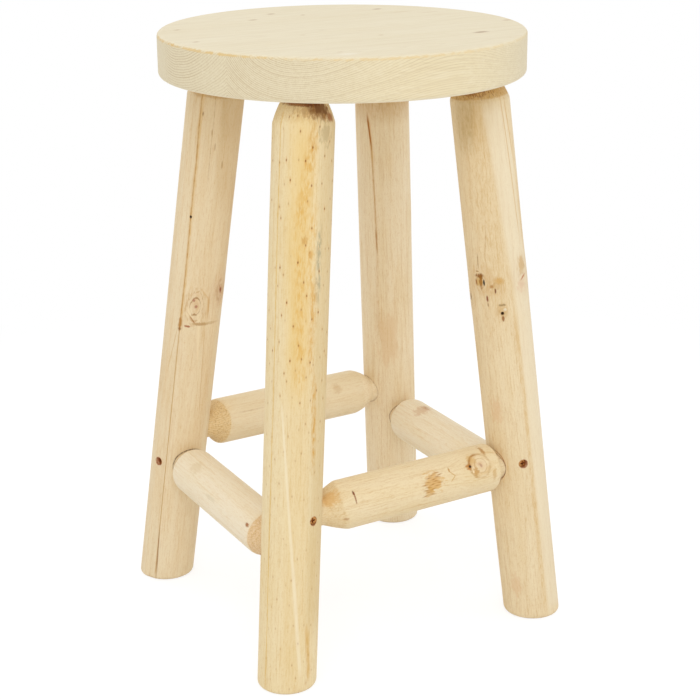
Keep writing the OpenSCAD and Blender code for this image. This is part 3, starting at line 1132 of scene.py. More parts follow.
@dataclass
class Log:
    """A peeled log whose skin is a grid of rings along its axis.

    start and end are the ends of its axis, and facing is the way that turn 0 looks. columns counts
    the vertices of a ring, and step is the most that two rings lie apart. planed lists flats, each
    with the turn of its middle, half its width as a turn and its depth.
    """

    name: str
    start: np.ndarray
    end: np.ndarray
    facing: np.ndarray
    radius: float
    tenon_radius: float
    figure: LogFigure
    columns: int
    cones: tuple[Cone, ...]
    bores: tuple[Bore, ...] = ()
    planed: tuple[tuple[float, float, float], ...] = ()
    step: float = 1.28

    def __post_init__(self) -> None:
        """Work out the log's own axes."""
        self.length = float(np.linalg.norm(self.end - self.start))
        self.way = unit(self.end - self.start)
        self.front = unit(self.facing - self.way * (self.facing @ self.way))
        self.side = np.cross(self.way, self.front)

    def spans(self) -> list[tuple[float, float]]:
        """Where each cone's narrow end and wide end lie along the log."""
        raise NotImplementedError

    def corners(self) -> list[Corner]:
        """The corners of the log's outline, from the middle of one end to the middle of the other."""
        raise NotImplementedError

    def flatness(self, along: np.ndarray) -> np.ndarray:
        """How far a ring is tipped from square to the axis, at 0, to level with the floor, at 1."""
        return np.zeros_like(along)

    def place_of(self, point: np.ndarray) -> tuple[float, float]:
        """The turn in degrees, and the distance along the log, of a point."""
        off = point - self.start
        return math.degrees(math.atan2(off @ self.side, off @ self.front)), float(off @ self.way)

    def skin(self, turn: np.ndarray, along: np.ndarray) -> np.ndarray:
        """How far the skin stands off a true cylinder.

        It is the sum of slow waves round and along the log, as a hand-peeled stem has, one wave of
        both together, the swelling at each knot and the flats where a knife has taken a strip off.
        On a flat the distance out is a chord's: radius * cos(half) / cos(turn off its middle).

        Args:
            turn: Turns in radians.
            along: Distances along the log.

        Returns:
            Millimetres outward, for each place.
        """
        s = self.figure.seed
        off = 0.10 * np.sin(along / 43 + 2.9 * s) * np.sin(turn + 1.3 * s) - 0.16
        for height, count, phase, span in WAVES:
            off += height * np.sin(count * turn + phase * s + along / span)
        for knot in self.figure.knots:
            off = off + knot.swell(turn, along, self.radius)
        for middle, half, depth in self.planed:
            away = half_turn(turn - math.radians(middle))
            chord = self.radius * math.cos(math.radians(half)) / np.cos(np.clip(away, -1.2, 1.2))
            off = off + np.minimum(chord - self.radius, 0) * depth * (np.abs(away) < math.radians(half))
        return off

    def slide(self, turn: np.ndarray, along: np.ndarray) -> tuple[np.ndarray, np.ndarray]:
        """How the cutter's tilt moves the skin at the cones.

        A point at share t of the cone, from 0 at its narrow end to 1 at its wide end, moves towards
        the log's end by t (pull + slant cos(turn - toward)) and out by bulge sin(pi t). Beyond the
        cone the first of these dies away over two of its lengths.

        Args:
            turn: Turns in radians.
            along: Distances along the log.

        Returns:
            Millimetres along the log and millimetres outward, for each place.
        """
        shift, out = np.zeros_like(along), np.zeros_like(along)
        for (narrow, wide), cone in zip(self.spans(), self.cones):
            t = (along - narrow) / (wide - narrow)
            share = np.clip(t, 0, 1) * (1 - smooth(1.0, 3.0, t))
            reach = cone.pull + cone.slant * np.cos(turn - math.radians(cone.toward))
            shift += share * reach * math.copysign(1, narrow - wide)
            out += cone.bulge * np.sin(np.pi * np.clip(t, 0, 1))
        return shift, out

    def pit_bores(self) -> list[Bore]:
        """The holes of the figure's pits, each straight in towards the axis.

        Returns:
            One hole for each pit.
        """
        bores = []
        for pit in self.figure.pits:
            out = self._around(np.array(math.radians(pit.turn)), 1.0)
            wall = ((pit.width / 2 + 0.1, 0.0), (pit.width / 2 - 0.2, 0.6), (pit.width / 4, pit.depth))
            entry = self.start + pit.along * self.way + self.radius * out
            bores.append(Bore(entry, -out, wall, rings=3, blend=3, on_skin=1))
        return bores

    def _bore(self, turn: np.ndarray, along: np.ndarray, fixed: np.ndarray, bore: Bore) -> None:
        """Work one hole into the grid, in place.

        The squares of vertices round the hole's middle become circles, and farther squares go back
        to the even grid step by step. Inside the rim the circles go down the wall and in over the
        floor. A vertex of the skin is found where its line along the hole meets the log's cylinder.

        Args:
            turn: The grid's turns, in radians.
            along: The grid's distances along the log.
            fixed: Points of the walls and floors, and NaN elsewhere.
            bore: The hole.
        """
        entry = bore.entry - self.start
        across = unit(np.cross(bore.way, self.way))
        rise = np.cross(across, bore.way)
        row = int(np.argmin(np.abs(along[:, 0] - entry @ self.way)))
        column = round(math.atan2(entry @ self.side, entry @ self.front) / (2 * math.pi) * self.columns)
        reach = bore.rings + bore.blend
        steps = np.arange(-reach, reach + 1)
        block = np.ix_(row + steps, (column + steps) % self.columns)
        ring = np.maximum(np.abs(steps)[:, None], np.abs(steps)[None, :])
        skin = self._around(turn[block], self.radius) + along[block][..., None] * self.way - entry
        x, y = skin @ across, skin @ rise
        heading = np.arctan2(y - y[reach, reach], x - x[reach, reach])

        radii = np.zeros(bore.rings + 1)
        depths = np.full(bore.rings + 1, bore.wall[-1][1])
        floor = bore.rings - len(bore.wall) + 1
        radii[:floor] = bore.wall[-1][0] * np.arange(floor) / floor
        for k, (radius, depth) in enumerate(bore.wall):
            radii[bore.rings - k], depths[bore.rings - k] = radius, depth
        inner = np.minimum(ring, bore.rings)
        spread = np.where(ring <= bore.rings, radii[inner], bore.wall[0][0] * ring / bore.rings)
        back = np.clip((ring - bore.rings) / bore.blend, 0, 1)
        x = (1 - back) * spread * np.cos(heading) + back * x
        y = (1 - back) * spread * np.sin(heading) + back * y

        base = entry + x[..., None] * across + y[..., None] * rise
        flat_base = base - (base @ self.way)[..., None] * self.way
        flat_way = bore.way - (bore.way @ self.way) * self.way
        a, b = flat_way @ flat_way, 2 * flat_base @ flat_way
        c = (flat_base ** 2).sum(-1) - self.radius ** 2
        to_skin = (-b - np.sqrt(np.maximum(b * b - 4 * a * c, 0))) / (2 * a)
        on_skin = bore.rings - ring < bore.on_skin
        depth = np.where(on_skin, to_skin, 0) + np.where(ring < bore.rings, depths[inner], 0)
        place = base + depth[..., None] * bore.way
        outside = ring >= bore.rings
        turn[block] = np.where(outside, np.arctan2(place @ self.side, place @ self.front), turn[block])
        along[block] = np.where(outside, place @ self.way, along[block])
        fixed[block] = np.where(outside[..., None], np.nan, place + self.start)

    def _around(self, turn: np.ndarray, out: np.ndarray | float) -> np.ndarray:
        """Offsets square to the axis, at a turn and a distance out."""
        out = np.asarray(out)[..., None]
        return out * (np.cos(turn)[..., None] * self.front + np.sin(turn)[..., None] * self.side)

    def points(self) -> tuple[np.ndarray, int]:
        """All vertices of the log.

        A vertex at distance s, turn a and distance out r lies at start + (s + w h) way + r e(a). h
        is the height that brings the ring level with the floor, and w its share.

        Returns:
            The vertices, with the two ends' middles last, and the number of rings.
        """
        line = outline(self.corners(), self.step)
        rows = len(line)
        turn = np.tile(np.arange(self.columns) * 2 * math.pi / self.columns, (rows, 1))
        along = np.tile(line[:, :1], (1, self.columns))
        fixed = np.full((rows, self.columns, 3), np.nan)
        for bore in (*self.bores, *self.pit_bores()):
            self._bore(turn, along, fixed, bore)
        out = np.tile(line[:, 1:], (1, self.columns))
        share = np.clip((out - self.tenon_radius) / (self.radius - self.tenon_radius), 0, 1)
        shift, bulge = self.slide(turn, along)
        out = out + share * self.skin(turn, along) + bulge
        offset = self._around(turn, out)
        stands = abs(self.way[2]) > 0.5
        lift = -offset[..., 2] / self.way[2] if stands else 0.0
        place = self.start + (along + shift + self.flatness(along) * lift)[..., None] * self.way + offset
        place = np.where(np.isnan(fixed), place, fixed)
        middles = self.start + np.array([line[0, 0], line[-1, 0]])[:, None] * self.way
        return np.concatenate([place.reshape(-1, 3), middles]), rows

    def build(self) -> bpy.types.Object:
        """Build the log's mesh, dress it and let it stand for its solid.

        Returns:
            The log's object.
        """
        points, rows = self.points()
        piece = mesh_from(self.name + "_log", points, tube_faces(rows, self.columns), LOG_SHARP)
        turned = Matrix(np.column_stack([self.front, self.side, self.way])).to_4x4()
        axes = Matrix.Translation(Vector(self.start * MM)) @ turned
        PeeledPine(self.figure).dress(piece, axes, self.radius, self.length)
        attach(piece, "root")
        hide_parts(self.name)
        log.info("%s: %d vertices", piece.name, len(points))
        return piece


def shoulder_clear(lean: float, tenon_radius: float, radius: float) -> float:
    """Distance from a log's axis, or a face of radius 0, to a leaning square shoulder that clears it."""
    return radius / math.cos(lean) + tenon_radius * math.tan(lean) + SHOULDER_GAP


@dataclass
class Leg(Log):
    """A leg: cut level at its foot, with a cone and a tenon at its top."""

    foot_ease: float = 4.6

    def spans(self) -> list[tuple[float, float]]:
        """The leg's one cone, under the seat."""
        narrow = self.length - shoulder_clear(math.acos(self.way[2]), self.tenon_radius, 0.0)
        return [(narrow, narrow - (self.radius - self.tenon_radius) / math.tan(math.radians(LEG_TAPER)))]

    def corners(self) -> list[Corner]:
        """The outline from the middle of the foot to the middle of the tenon's tip.

        Returns:
            The outline's corners in order.
        """
        narrow, wide = self.spans()[0]
        tip = self.length + LEG_TENON_LENGTH
        return [
            Corner(0, END_RING), Corner(0, self.radius, self.foot_ease), Corner(wide, self.radius, 1.5),
            Corner(narrow, self.tenon_radius, ROOT_EASE), Corner(tip, self.tenon_radius, TIP_EASE),
            Corner(tip, END_RING),
        ]

    def flatness(self, along: np.ndarray) -> np.ndarray:
        """Rings are level at the foot and square to the axis from 60 mm up."""
        return 1.0 - smooth(0.0, 60.0, along)


@dataclass
class Stretcher(Log):
    """A stretcher: a cone and a tenon at each end."""

    clears: tuple[float, float] = (30.0, 30.0)

    def spans(self) -> list[tuple[float, float]]:
        """The stretcher's two cones, each up to the leg it goes into.

        Returns:
            Where each cone's narrow end and wide end lie along the stretcher.
        """
        cone = (self.radius - self.tenon_radius) / math.tan(math.radians(STRETCHER_TAPER))
        tip = LEG_RADIUS - STRETCHER_TENON_LENGTH
        first, last = self.clears[0] - tip, self.length - (self.clears[1] - tip)
        return [(first, first + cone), (last, last - cone)]

    def corners(self) -> list[Corner]:
        """The outline from the middle of one tenon's tip to the middle of the other's.

        Returns:
            The outline's corners in order.
        """
        (first, first_wide), (last, last_wide) = self.spans()
        return [
            Corner(0, END_RING), Corner(0, self.tenon_radius, TIP_EASE),
            Corner(first, self.tenon_radius, ROOT_EASE), Corner(first_wide, self.radius, 2.2),
            Corner(last_wide, self.radius, 2.2), Corner(last, self.tenon_radius, ROOT_EASE),
            Corner(self.length, self.tenon_radius, TIP_EASE), Corner(self.length, END_RING),
        ]


@dataclass(frozen=True)
class LegPlan:
    """Where one leg's axis meets the seat and the floor, its cone, its flats and its figure.

    gaps holds, for the stretchers that start and end in this leg, the side on which the painted
    shade in the gap round the stretcher is darkest, as Mouth counts it.
    """

    name: str
    top: tuple[float, float]
    foot: tuple[float, float]
    facing: float
    figure: LogFigure
    cone: Cone = Cone()
    planed: tuple[tuple[float, float, float], ...] = ()
    gaps: tuple[float, float] = (90.0, 90.0)


@dataclass(frozen=True)
class StretcherPlan:
    """Heights of one stretcher's axis at its two legs, its screws, its cones and its figure.

    insets are how far each screw lies from the leg's axis along the stretcher's, and rises how far
    over it.
    """

    name: str
    heights: tuple[float, float]
    insets: tuple[float, float]
    rises: tuple[float, float]
    cones: tuple[Cone, Cone]
    figure: LogFigure


@dataclass
class Frame:
    """The four legs and four stretchers, with every socket and screw hole worked from one plan.

    Legs go counterclockwise from the front left one, and stretcher i runs from leg i to the next.
    """

    legs: Sequence[LegPlan]
    stretchers: Sequence[StretcherPlan]

    def foot(self, k: int) -> np.ndarray:
        """Where leg k's axis meets the floor."""
        return np.array([*self.legs[k % 4].foot, 0.0])

    def top(self, k: int) -> np.ndarray:
        """Where leg k's axis meets the underside of the seat."""
        return np.array([*self.legs[k % 4].top, SEAT_UNDERSIDE])

    def at(self, k: int, z: float) -> np.ndarray:
        """The point of leg k's axis at a height."""
        return self.foot(k) + (self.top(k) - self.foot(k)) * z / SEAT_UNDERSIDE

    def lean(self, k: int) -> np.ndarray:
        """The unit way up leg k."""
        return unit(self.top(k) - self.foot(k))

    def joint(self, i: int, end: int) -> np.ndarray:
        """Where stretcher i's axis meets the axis of its leg."""
        return self.at(i + end, self.stretchers[i].heights[end])

    def into(self, i: int, end: int) -> np.ndarray:
        """The unit way from one end of stretcher i into it."""
        return unit(self.joint(i, 1 - end) - self.joint(i, end))

    def socket(self, i: int, end: int) -> Bore:
        """The blind socket in a leg for one end of a stretcher.

        Args:
            i: The stretcher's number.
            end: 0 for its start and 1 for its end.

        Returns:
            The socket, as a hole in the leg's skin.
        """
        way = self.into(i, end)
        lean = math.asin(abs(way @ self.lean(i + end)))
        radius = STRETCHER_TENON_RADIUS + TENON_GAP
        reach = LEG_RADIUS / math.cos(lean)
        depth = reach - (LEG_RADIUS - STRETCHER_TENON_LENGTH - SOCKET_END_GAP)
        wall = ((radius + SOCKET_EASE, 0.0), (radius, EASE_DEPTH), (radius, depth / 2), (radius, depth))
        return Bore(self.joint(i, end) + way * reach, -way, wall, rings=12, blend=3)

    def screw_hole(self, i: int, end: int) -> Bore:
        """The counterbore and pilot hole for one pin screw of a stretcher.

        Args:
            i: The stretcher's number.
            end: 0 for its start and 1 for its end.

        Returns:
            Both holes as one, in the leg's skin.
        """
        way = self.into(i, end)
        first = self.into(i, 0)
        outward = unit(np.array([first[1], -first[0], 0.0]))
        plan = self.stretchers[i]
        line = self.joint(i, end) + way * plan.insets[end] + UP * plan.rises[end]
        away = line - self.at(i + end, line[2])
        reach = math.sqrt(LEG_RADIUS ** 2 - (away @ way) ** 2) - away @ outward
        head, pilot = SCREW_HEAD_RADIUS, SCREW_RADIUS
        floor = SCREW_SINK + SCREW_RIM
        wall = ((head + SCREW_HOLE_EASE, 0.0), (head, EASE_DEPTH), (head, floor),
                (pilot, floor + head - pilot), (pilot, SCREW_HOLE_DEPTH))
        return Bore(line + outward * reach, -outward, wall, rings=5, blend=2)

    def leg(self, k: int) -> Leg:
        """A leg with its two sockets and two screw holes, and painted shade round them: a dark line in
        the gap round each stretcher, and a reddish brown ring down each screw hole's wall.

        Args:
            k: The leg's number.

        Returns:
            The leg, not built yet.
        """
        plan = self.legs[k]
        heading = math.radians(plan.facing)
        before = (k + 3) % 4
        sockets = (self.socket(k, 0), self.socket(before, 1))
        screws = (self.screw_hole(k, 0), self.screw_hole(before, 1))
        leg = Leg(
            plan.name, self.foot(k), self.top(k), np.array([math.cos(heading), math.sin(heading), 0.0]),
            LEG_RADIUS, LEG_TENON_RADIUS, plan.figure, LEG_COLUMNS, (plan.cone,), (*sockets, *screws),
            plan.planed,
        )
        # Painted shade in the gap round each stretcher's end, darkest on the side that gaps names.
        reach = 2 * LEG_RADIUS * math.asin((STRETCHER_TENON_RADIUS + 0.5) / LEG_RADIUS)
        mouths = [
            Mouth(*leg.place_of(bore.entry), reach, 2 * STRETCHER_TENON_RADIUS + 1.0, toward)
            for bore, toward in zip(sockets, plan.gaps)
        ]
        # Painted shade down each screw hole's wall, reddish brown and a little darker to one side.
        head = 2 * SCREW_HEAD_RADIUS
        mouths += [
            Mouth(*leg.place_of(bore.entry), head, head, 45.0, "#9A4418", cover=0.95, faint=0.8, inside=True)
            for bore in screws
        ]
        leg.figure = replace(plan.figure, marks=(*plan.figure.marks, *mouths))
        return leg

    def stretcher(self, i: int) -> Stretcher:
        """A stretcher, from tenon tip to tenon tip.

        Args:
            i: The stretcher's number.

        Returns:
            The stretcher, not built yet.
        """
        tip = LEG_RADIUS - STRETCHER_TENON_LENGTH
        clears = tuple(
            shoulder_clear(math.asin(abs(self.into(i, end) @ self.lean(i + end))),
                           STRETCHER_TENON_RADIUS, LEG_RADIUS)
            for end in (0, 1)
        )
        plan = self.stretchers[i]
        return Stretcher(
            plan.name, self.joint(i, 0) + self.into(i, 0) * tip, self.joint(i, 1) + self.into(i, 1) * tip,
            UP, STRETCHER_RADIUS, STRETCHER_TENON_RADIUS, plan.figure, STRETCHER_COLUMNS, plan.cones,
            clears=clears,
        )


@dataclass
class Seat:
    """The round seat: three boards glued edge to edge along X, with a blind socket for each leg.

    edge and seam_ease are how far the rim's edges and the glued ones are eased, and overrun is how
    far below the seat the sockets' cutters start.
    """

    frame: Frame
    edge: float = 4.0
    seam_ease: float = 0.15
    overrun: float = 10.0

    def _ring(self, low: float, high: float, inset: float, seam_inset: float) -> np.ndarray:
        """One closed loop round a board in plan.

        Arcs lie on the circle of the seat's radius less the inset, and chords on the board's edges
        less the seam's inset; an edge outside the circle has no chord.

        Args:
            low: The board's lower edge in Y.
            high: Its upper edge in Y.
            inset: How far the loop lies inside the rim.
            seam_inset: How far it lies inside the glued edges.

        Returns:
            One row of x and y for each vertex, counterclockwise.
        """
        radius = SEAT_RADIUS - inset
        low_cut, high_cut = abs(low) < SEAT_RADIUS, abs(high) < SEAT_RADIUS
        start = math.asin((low + seam_inset) / radius) if low_cut else -math.pi / 2
        end = math.asin((high - seam_inset) / radius) if high_cut else math.pi / 2
        right = np.linspace(start, end, RIM_COLUMNS)
        left = math.pi - right[::-1]
        arcs = [np.stack([radius * np.cos(a), radius * np.sin(a)], axis=-1) for a in (right, left)]
        parts = []
        for arc, cut, following in ((arcs[0], high_cut, arcs[1]), (arcs[1], low_cut, arcs[0])):
            parts.append(arc if cut else arc[:-1])
            if cut:
                parts.append(np.linspace(arc[-1], following[0], SEAM_COLUMNS)[1:-1])
        return np.concatenate(parts)

    def _section(self) -> list[tuple[float, float, float]]:
        """The loops that make up a board's skin, from top to bottom.

        Returns:
            Inset from the rim, inset from the seam and height of each loop.
        """
        arcs = np.radians(np.linspace(0, 90, EDGE_ROWS))
        top = [(self.edge * (1 - math.sin(a)), self.seam_ease * (1 - math.sin(a)),
                SEAT_TOP - self.edge * (1 - math.cos(a))) for a in arcs]
        low = [(i, s, SEAT_UNDERSIDE + SEAT_TOP - z) for i, s, z in reversed(top)]
        rim = np.linspace(top[-1][2], low[0][2], EDGE_ROWS)[1:-1]
        inner = [(self.edge + 3.0, self.seam_ease + 0.6), (self.edge + 1.0, self.seam_ease + 0.25)]
        return (
            [(i, s, SEAT_TOP) for i, s in inner] + top + [(0.0, 0.0, z) for z in rim] + low
            + [(i, s, SEAT_UNDERSIDE) for i, s in reversed(inner)]
        )

    def _cutters(self) -> bpy.types.Object:
        """Build the four socket cylinders as one object, each round its leg's axis.

        Returns:
            The object, which cuts the boards and is then removed.
        """
        columns = ROUND_COLUMNS
        radius = LEG_TENON_RADIUS + TENON_GAP
        turn = np.arange(columns) * 2 * math.pi / columns
        places, faces = [], []
        for k in range(4):
            way = self.frame.lean(k)
            front = unit(np.cross(UP, way))
            side = np.cross(way, front)
            ring = radius * (np.cos(turn)[:, None] * front + np.sin(turn)[:, None] * side)
            ends = np.array([-self.overrun, LEG_TENON_LENGTH + SOCKET_END_GAP])[:, None] * way
            ends = ends + self.frame.top(k)
            first = len(places) * (2 * columns + 2)
            faces += [[v + first for v in face] for face in tube_faces(2, columns)]
            places.append(np.concatenate([ends[0] + ring, ends[1] + ring, ends]))
        return mesh_from("socket_cutters", np.concatenate(places), faces, SHARP)

    def _board(self, name: str, low: float, high: float, cutters: bpy.types.Object) -> bpy.types.Object:
        """Build one board and cut its sockets.

        Args:
            name: The board's name.
            low: Its lower edge in Y.
            high: Its upper edge in Y.
            cutters: The object whose cylinders cut the sockets.

        Returns:
            The board's object.
        """
        section = self._section()
        loops = [self._ring(low, high, i, s) for i, s, _ in section]
        count = len(loops[0])
        points = np.concatenate([
            np.column_stack([loop, np.full(count, z)]) for loop, (_, _, z) in zip(loops, section)])
        at = np.arange(len(points)).reshape(len(section), count)
        ahead = np.roll(at, -1, axis=1)
        faces = np.stack([at[:-1], at[1:], ahead[1:], ahead[:-1]], axis=-1).reshape(-1, 4).tolist()
        faces += [at[0].tolist(), at[-1][::-1].tolist()]
        piece = mesh_from(name + "_board", points, faces, SHARP)
        cut = piece.modifiers.new("sockets", "BOOLEAN")
        cut.object = cutters
        cut.solver = "EXACT"
        done = bpy.data.meshes.new_from_object(piece.evaluated_get(bpy.context.evaluated_depsgraph_get()))
        piece.modifiers.clear()
        piece.data = done
        done.name = piece.name
        done.shade_smooth()
        done.set_sharp_from_angle(angle=math.radians(SHARP))
        done.materials.clear()
        return piece

    def build(self, boards: Sequence[tuple[str, float, float, SandedPine]]) -> None:
        """Build each board and dress it.

        Args:
            boards: Name, lower and upper edge in Y, and finish of each board.
        """
        cutters = self._cutters()
        for name, low, high, finish in boards:
            piece = self._board(name, low, high, cutters)
            finish.dress(piece)
            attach(piece, "root")
            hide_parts(name)
            log.info("%s: %d vertices", piece.name, len(piece.data.vertices))
        bpy.data.objects.remove(cutters)


@dataclass(frozen=True)
class Studio:
    """The floor, the soft lamps, the world and the camera, in metres.

    eye, right and up are the camera's place and axes, and lens is in millimetres. sky is how bright
    the world is. paper is the share of lit paper that the camera sees near the stool, and paper_glow
    is how bright the rest is there; both fade to plain white between the two distances of fade.
    """

    eye: tuple[float, float, float] = (-0.84852, -1.50571, 0.85515)
    right: tuple[float, float, float] = (0.86844, -0.49574, -0.00726)
    up: tuple[float, float, float] = (0.16361, 0.27274, 0.94808)
    lens: float = 89.64
    sky: float = 0.80
    paper: float = 0.36
    paper_glow: float = 1.17
    fade: tuple[float, float] = (0.35, 1.1)
    floor_radius: float = 40.0

    def build(self) -> None:
        """Build all of the studio."""
        self._floor()
        self._world()
        self._lamp("key", (-1.4, -2.4, 2.4), 2.2, 29.0)
        self._lamp("fill", (2.6, -1.2, 1.4), 2.4, 10.0)
        self._lamp("back", (-0.6, 2.6, 2.0), 2.4, 12.0)
        scene = bpy.context.scene
        scene.view_settings.view_transform = "Standard"
        camera = bpy.data.cameras.new("camera")
        camera.lens = self.lens
        camera.sensor_width = 36.0
        camera.sensor_fit = "HORIZONTAL"
        camera.clip_end = 200.0
        seen = bpy.data.objects.new("camera", camera)
        turn = Matrix(np.column_stack([self.right, self.up, np.cross(self.right, self.up)])).to_4x4()
        seen.matrix_world = Matrix.Translation(Vector(self.eye)) @ turn
        scene.collection.objects.link(seen)
        scene.camera = seen

    def _floor(self) -> None:
        """Build a wide round floor of white paper that keeps the stool's shadow.

        Near the stool the camera sees a share of lit paper and the rest as glow, which together are
        just white where nothing shades them. Farther out the lit share fades away.
        """
        turn = np.linspace(0, 2 * math.pi, ROUND_COLUMNS + 1)[:-1]
        rim = np.stack([np.cos(turn), np.sin(turn), np.zeros_like(turn)], axis=-1)
        floor = mesh_from("floor", rim * self.floor_radius / MM, [list(range(ROUND_COLUMNS))], SHARP)

        # Matt white paper: it has no sheen, so it takes a soft shadow and no reflection.
        painter = Painter(bpy.data.materials.new("matt_white_paper"))
        add = painter.add
        away = add("VectorMath", add("TexCoord").outputs["Object"], operation="LENGTH")
        glow = add("MapRange", away, *self.fade, 1.0 - self.paper, 1.0, interpolation_type="SMOOTHSTEP")
        level = add("MapRange", away, *self.fade, self.paper_glow, 1.0, interpolation_type="SMOOTHSTEP")
        path = add("LightPath").outputs
        seen = add("Math", path["Is Camera Ray"], path["Is Glossy Ray"], operation="MAXIMUM")
        seen = add("Math", seen, path["Is Transmission Ray"], operation="MAXIMUM")
        share = add("Math", seen, glow, operation="MULTIPLY")
        paper = add("BsdfDiffuse", (0.9, 0.9, 0.9, 1))
        add("OutputMaterial", add("MixShader", share, paper, add("Emission", (1, 1, 1, 1), level)))
        floor.data.materials.append(painter.owner)

    def _world(self) -> None:
        """Light the stool evenly from all round, and show white behind it."""
        world = bpy.data.worlds.new("soft_white")
        bpy.context.scene.world = world
        add = Painter(world).add
        level = add("MapRange", add("LightPath").outputs["Is Camera Ray"], at={"To Min": self.sky})
        add("OutputWorld", add("Background", (1, 1, 1, 1), level))

    def _lamp(self, name: str, place: tuple[float, float, float], size: float, power: float) -> None:
        """Hang one square soft lamp that looks at the middle of the stool.

        Args:
            name: Its name.
            place: Where it hangs.
            size: The length of its side.
            power: Its power in watts.
        """
        light = bpy.data.lights.new(name, "AREA")
        light.size = size
        light.energy = power
        lamp = bpy.data.objects.new(name, light)
        aim = Vector((0, 0, 0.35)) - Vector(place)
        lamp.rotation_euler = aim.to_track_quat("-Z", "Y").to_euler()
        lamp.location = place
        bpy.context.scene.collection.objects.link(lamp)


FRONT_LEFT = LegPlan(
    "leg_front_left", (-94.0, -94.8), (-151.7, -147.0), -118.3,
    LogFigure(
        base="#E8D2A4", pale="#EFDFB8", warm="#E3C88E", late="#CC9F50", cut=("#DEC494", "#E8D2A4"),
        cut_rings=(0.3, 0.2), pith=((3.0, -2.0), (2.0, -4.0)), ring=2.6, ring_cover=0.10, seed=0.31,
        marks=(
            # Broad washes and a pale slanting line, and painted shade down the right side.
            Streak((2, 8), (330, 14), (44, 44), "#E2C48A", 0.3, fade=20),
            Streak((-25, 25), (280, 17), (3, 6), "#F6EACC", 0.5, wander=0.25, soft=0.8),
            Streak((-2, 2), (558, 305), (40, 36), "#E8C67C", 0.6, wander=1.5, soft=0.9, fade=30),
            Streak((62, 62), (560, 60), (42, 42), "#D0B684", 0.4, soft=0.6, fade=20),
            # Amber mottling down the front, and amber at the foot.
            Streak((22, 14), (552, 512), (16, 16), "#D39E44", 0.9, patchy=0.9),
            Streak((14, 4), (520, 470), (20, 20), "#DCAA4C", 0.75, patchy=0.9),
            Streak((2, 6), (478, 300), (24, 18), "#DCAA4C", 0.7, patchy=0.92),
            Streak((24, 22), (470, 395), (14, 12), "#DEAC54", 0.65, patchy=0.92),
            Streak((30, 28), (400, 320), (14, 12), "#D6A046", 0.85, patchy=0.9),
            Streak((36, 40), (310, 225), (10, 9), "#D29C40", 0.9, patchy=0.8),
            Streak((38, 44), (64, 12), (8, 8), "#D4A654", 0.8, patchy=0.4, fade=6),
            # The resin line on the left, from top to foot.
            Streak((-45.8, -45.8), (560, 8), (2.2, 2.2), "#D8AC50", 0.8, wander=0.5, patchy=0.4),
            # Two amber spots and a greyish patch.
            StainOrPaintedLight(8, 441, 6, 9, "#C68E36", 0.6, 1.2),
            StainOrPaintedLight(20, 428, 5, 9, "#CE9640", 0.6, 1.2),
            Streak((38, 38), (450, 388), (11, 10), "#8E8A70", 0.7, patchy=0.9),
            # A dull patch at the cone, and painted shade under the seat: brown on the cone, darkest on its
            # right side, and a dark line along the seat.
            StainOrPaintedLight(45, 538, 14, 22, "#B8A174", 0.55, 1.2),
            StainOrPaintedLight(14, 560, 34, 14, "#B07C40", 0.45, 1.2),
            StainOrPaintedLight(38, 560, 34, 20, "#94642F", 0.8, 0.5),
            StainOrPaintedLight(42, 562, 30, 14, "#70441E", 0.7, 0.8),
            StainOrPaintedLight(62, 554, 14, 10, "#9A5620", 0.8, 0.5),
            StainOrPaintedLight(-10, 565.5, 66, 6, "#8E5626", 0.9, 0.5),
            StainOrPaintedLight(22, 566, 32, 8, "#74401E", 0.9, 0.5),
            NeedleDots(0.95, 534.2, -46.4, 0.45, "#8A5216", 310.0),
        ),
        knots=(
            Knot(150, 430, 13, 17, KnotKind.RINGED, 0.5),
            Knot(-150, 255, 9, 12, KnotKind.SWIRL, 0.3),
        ),
    ),
    Cone(4.0, 1.2, 90.0, 0.8),
)
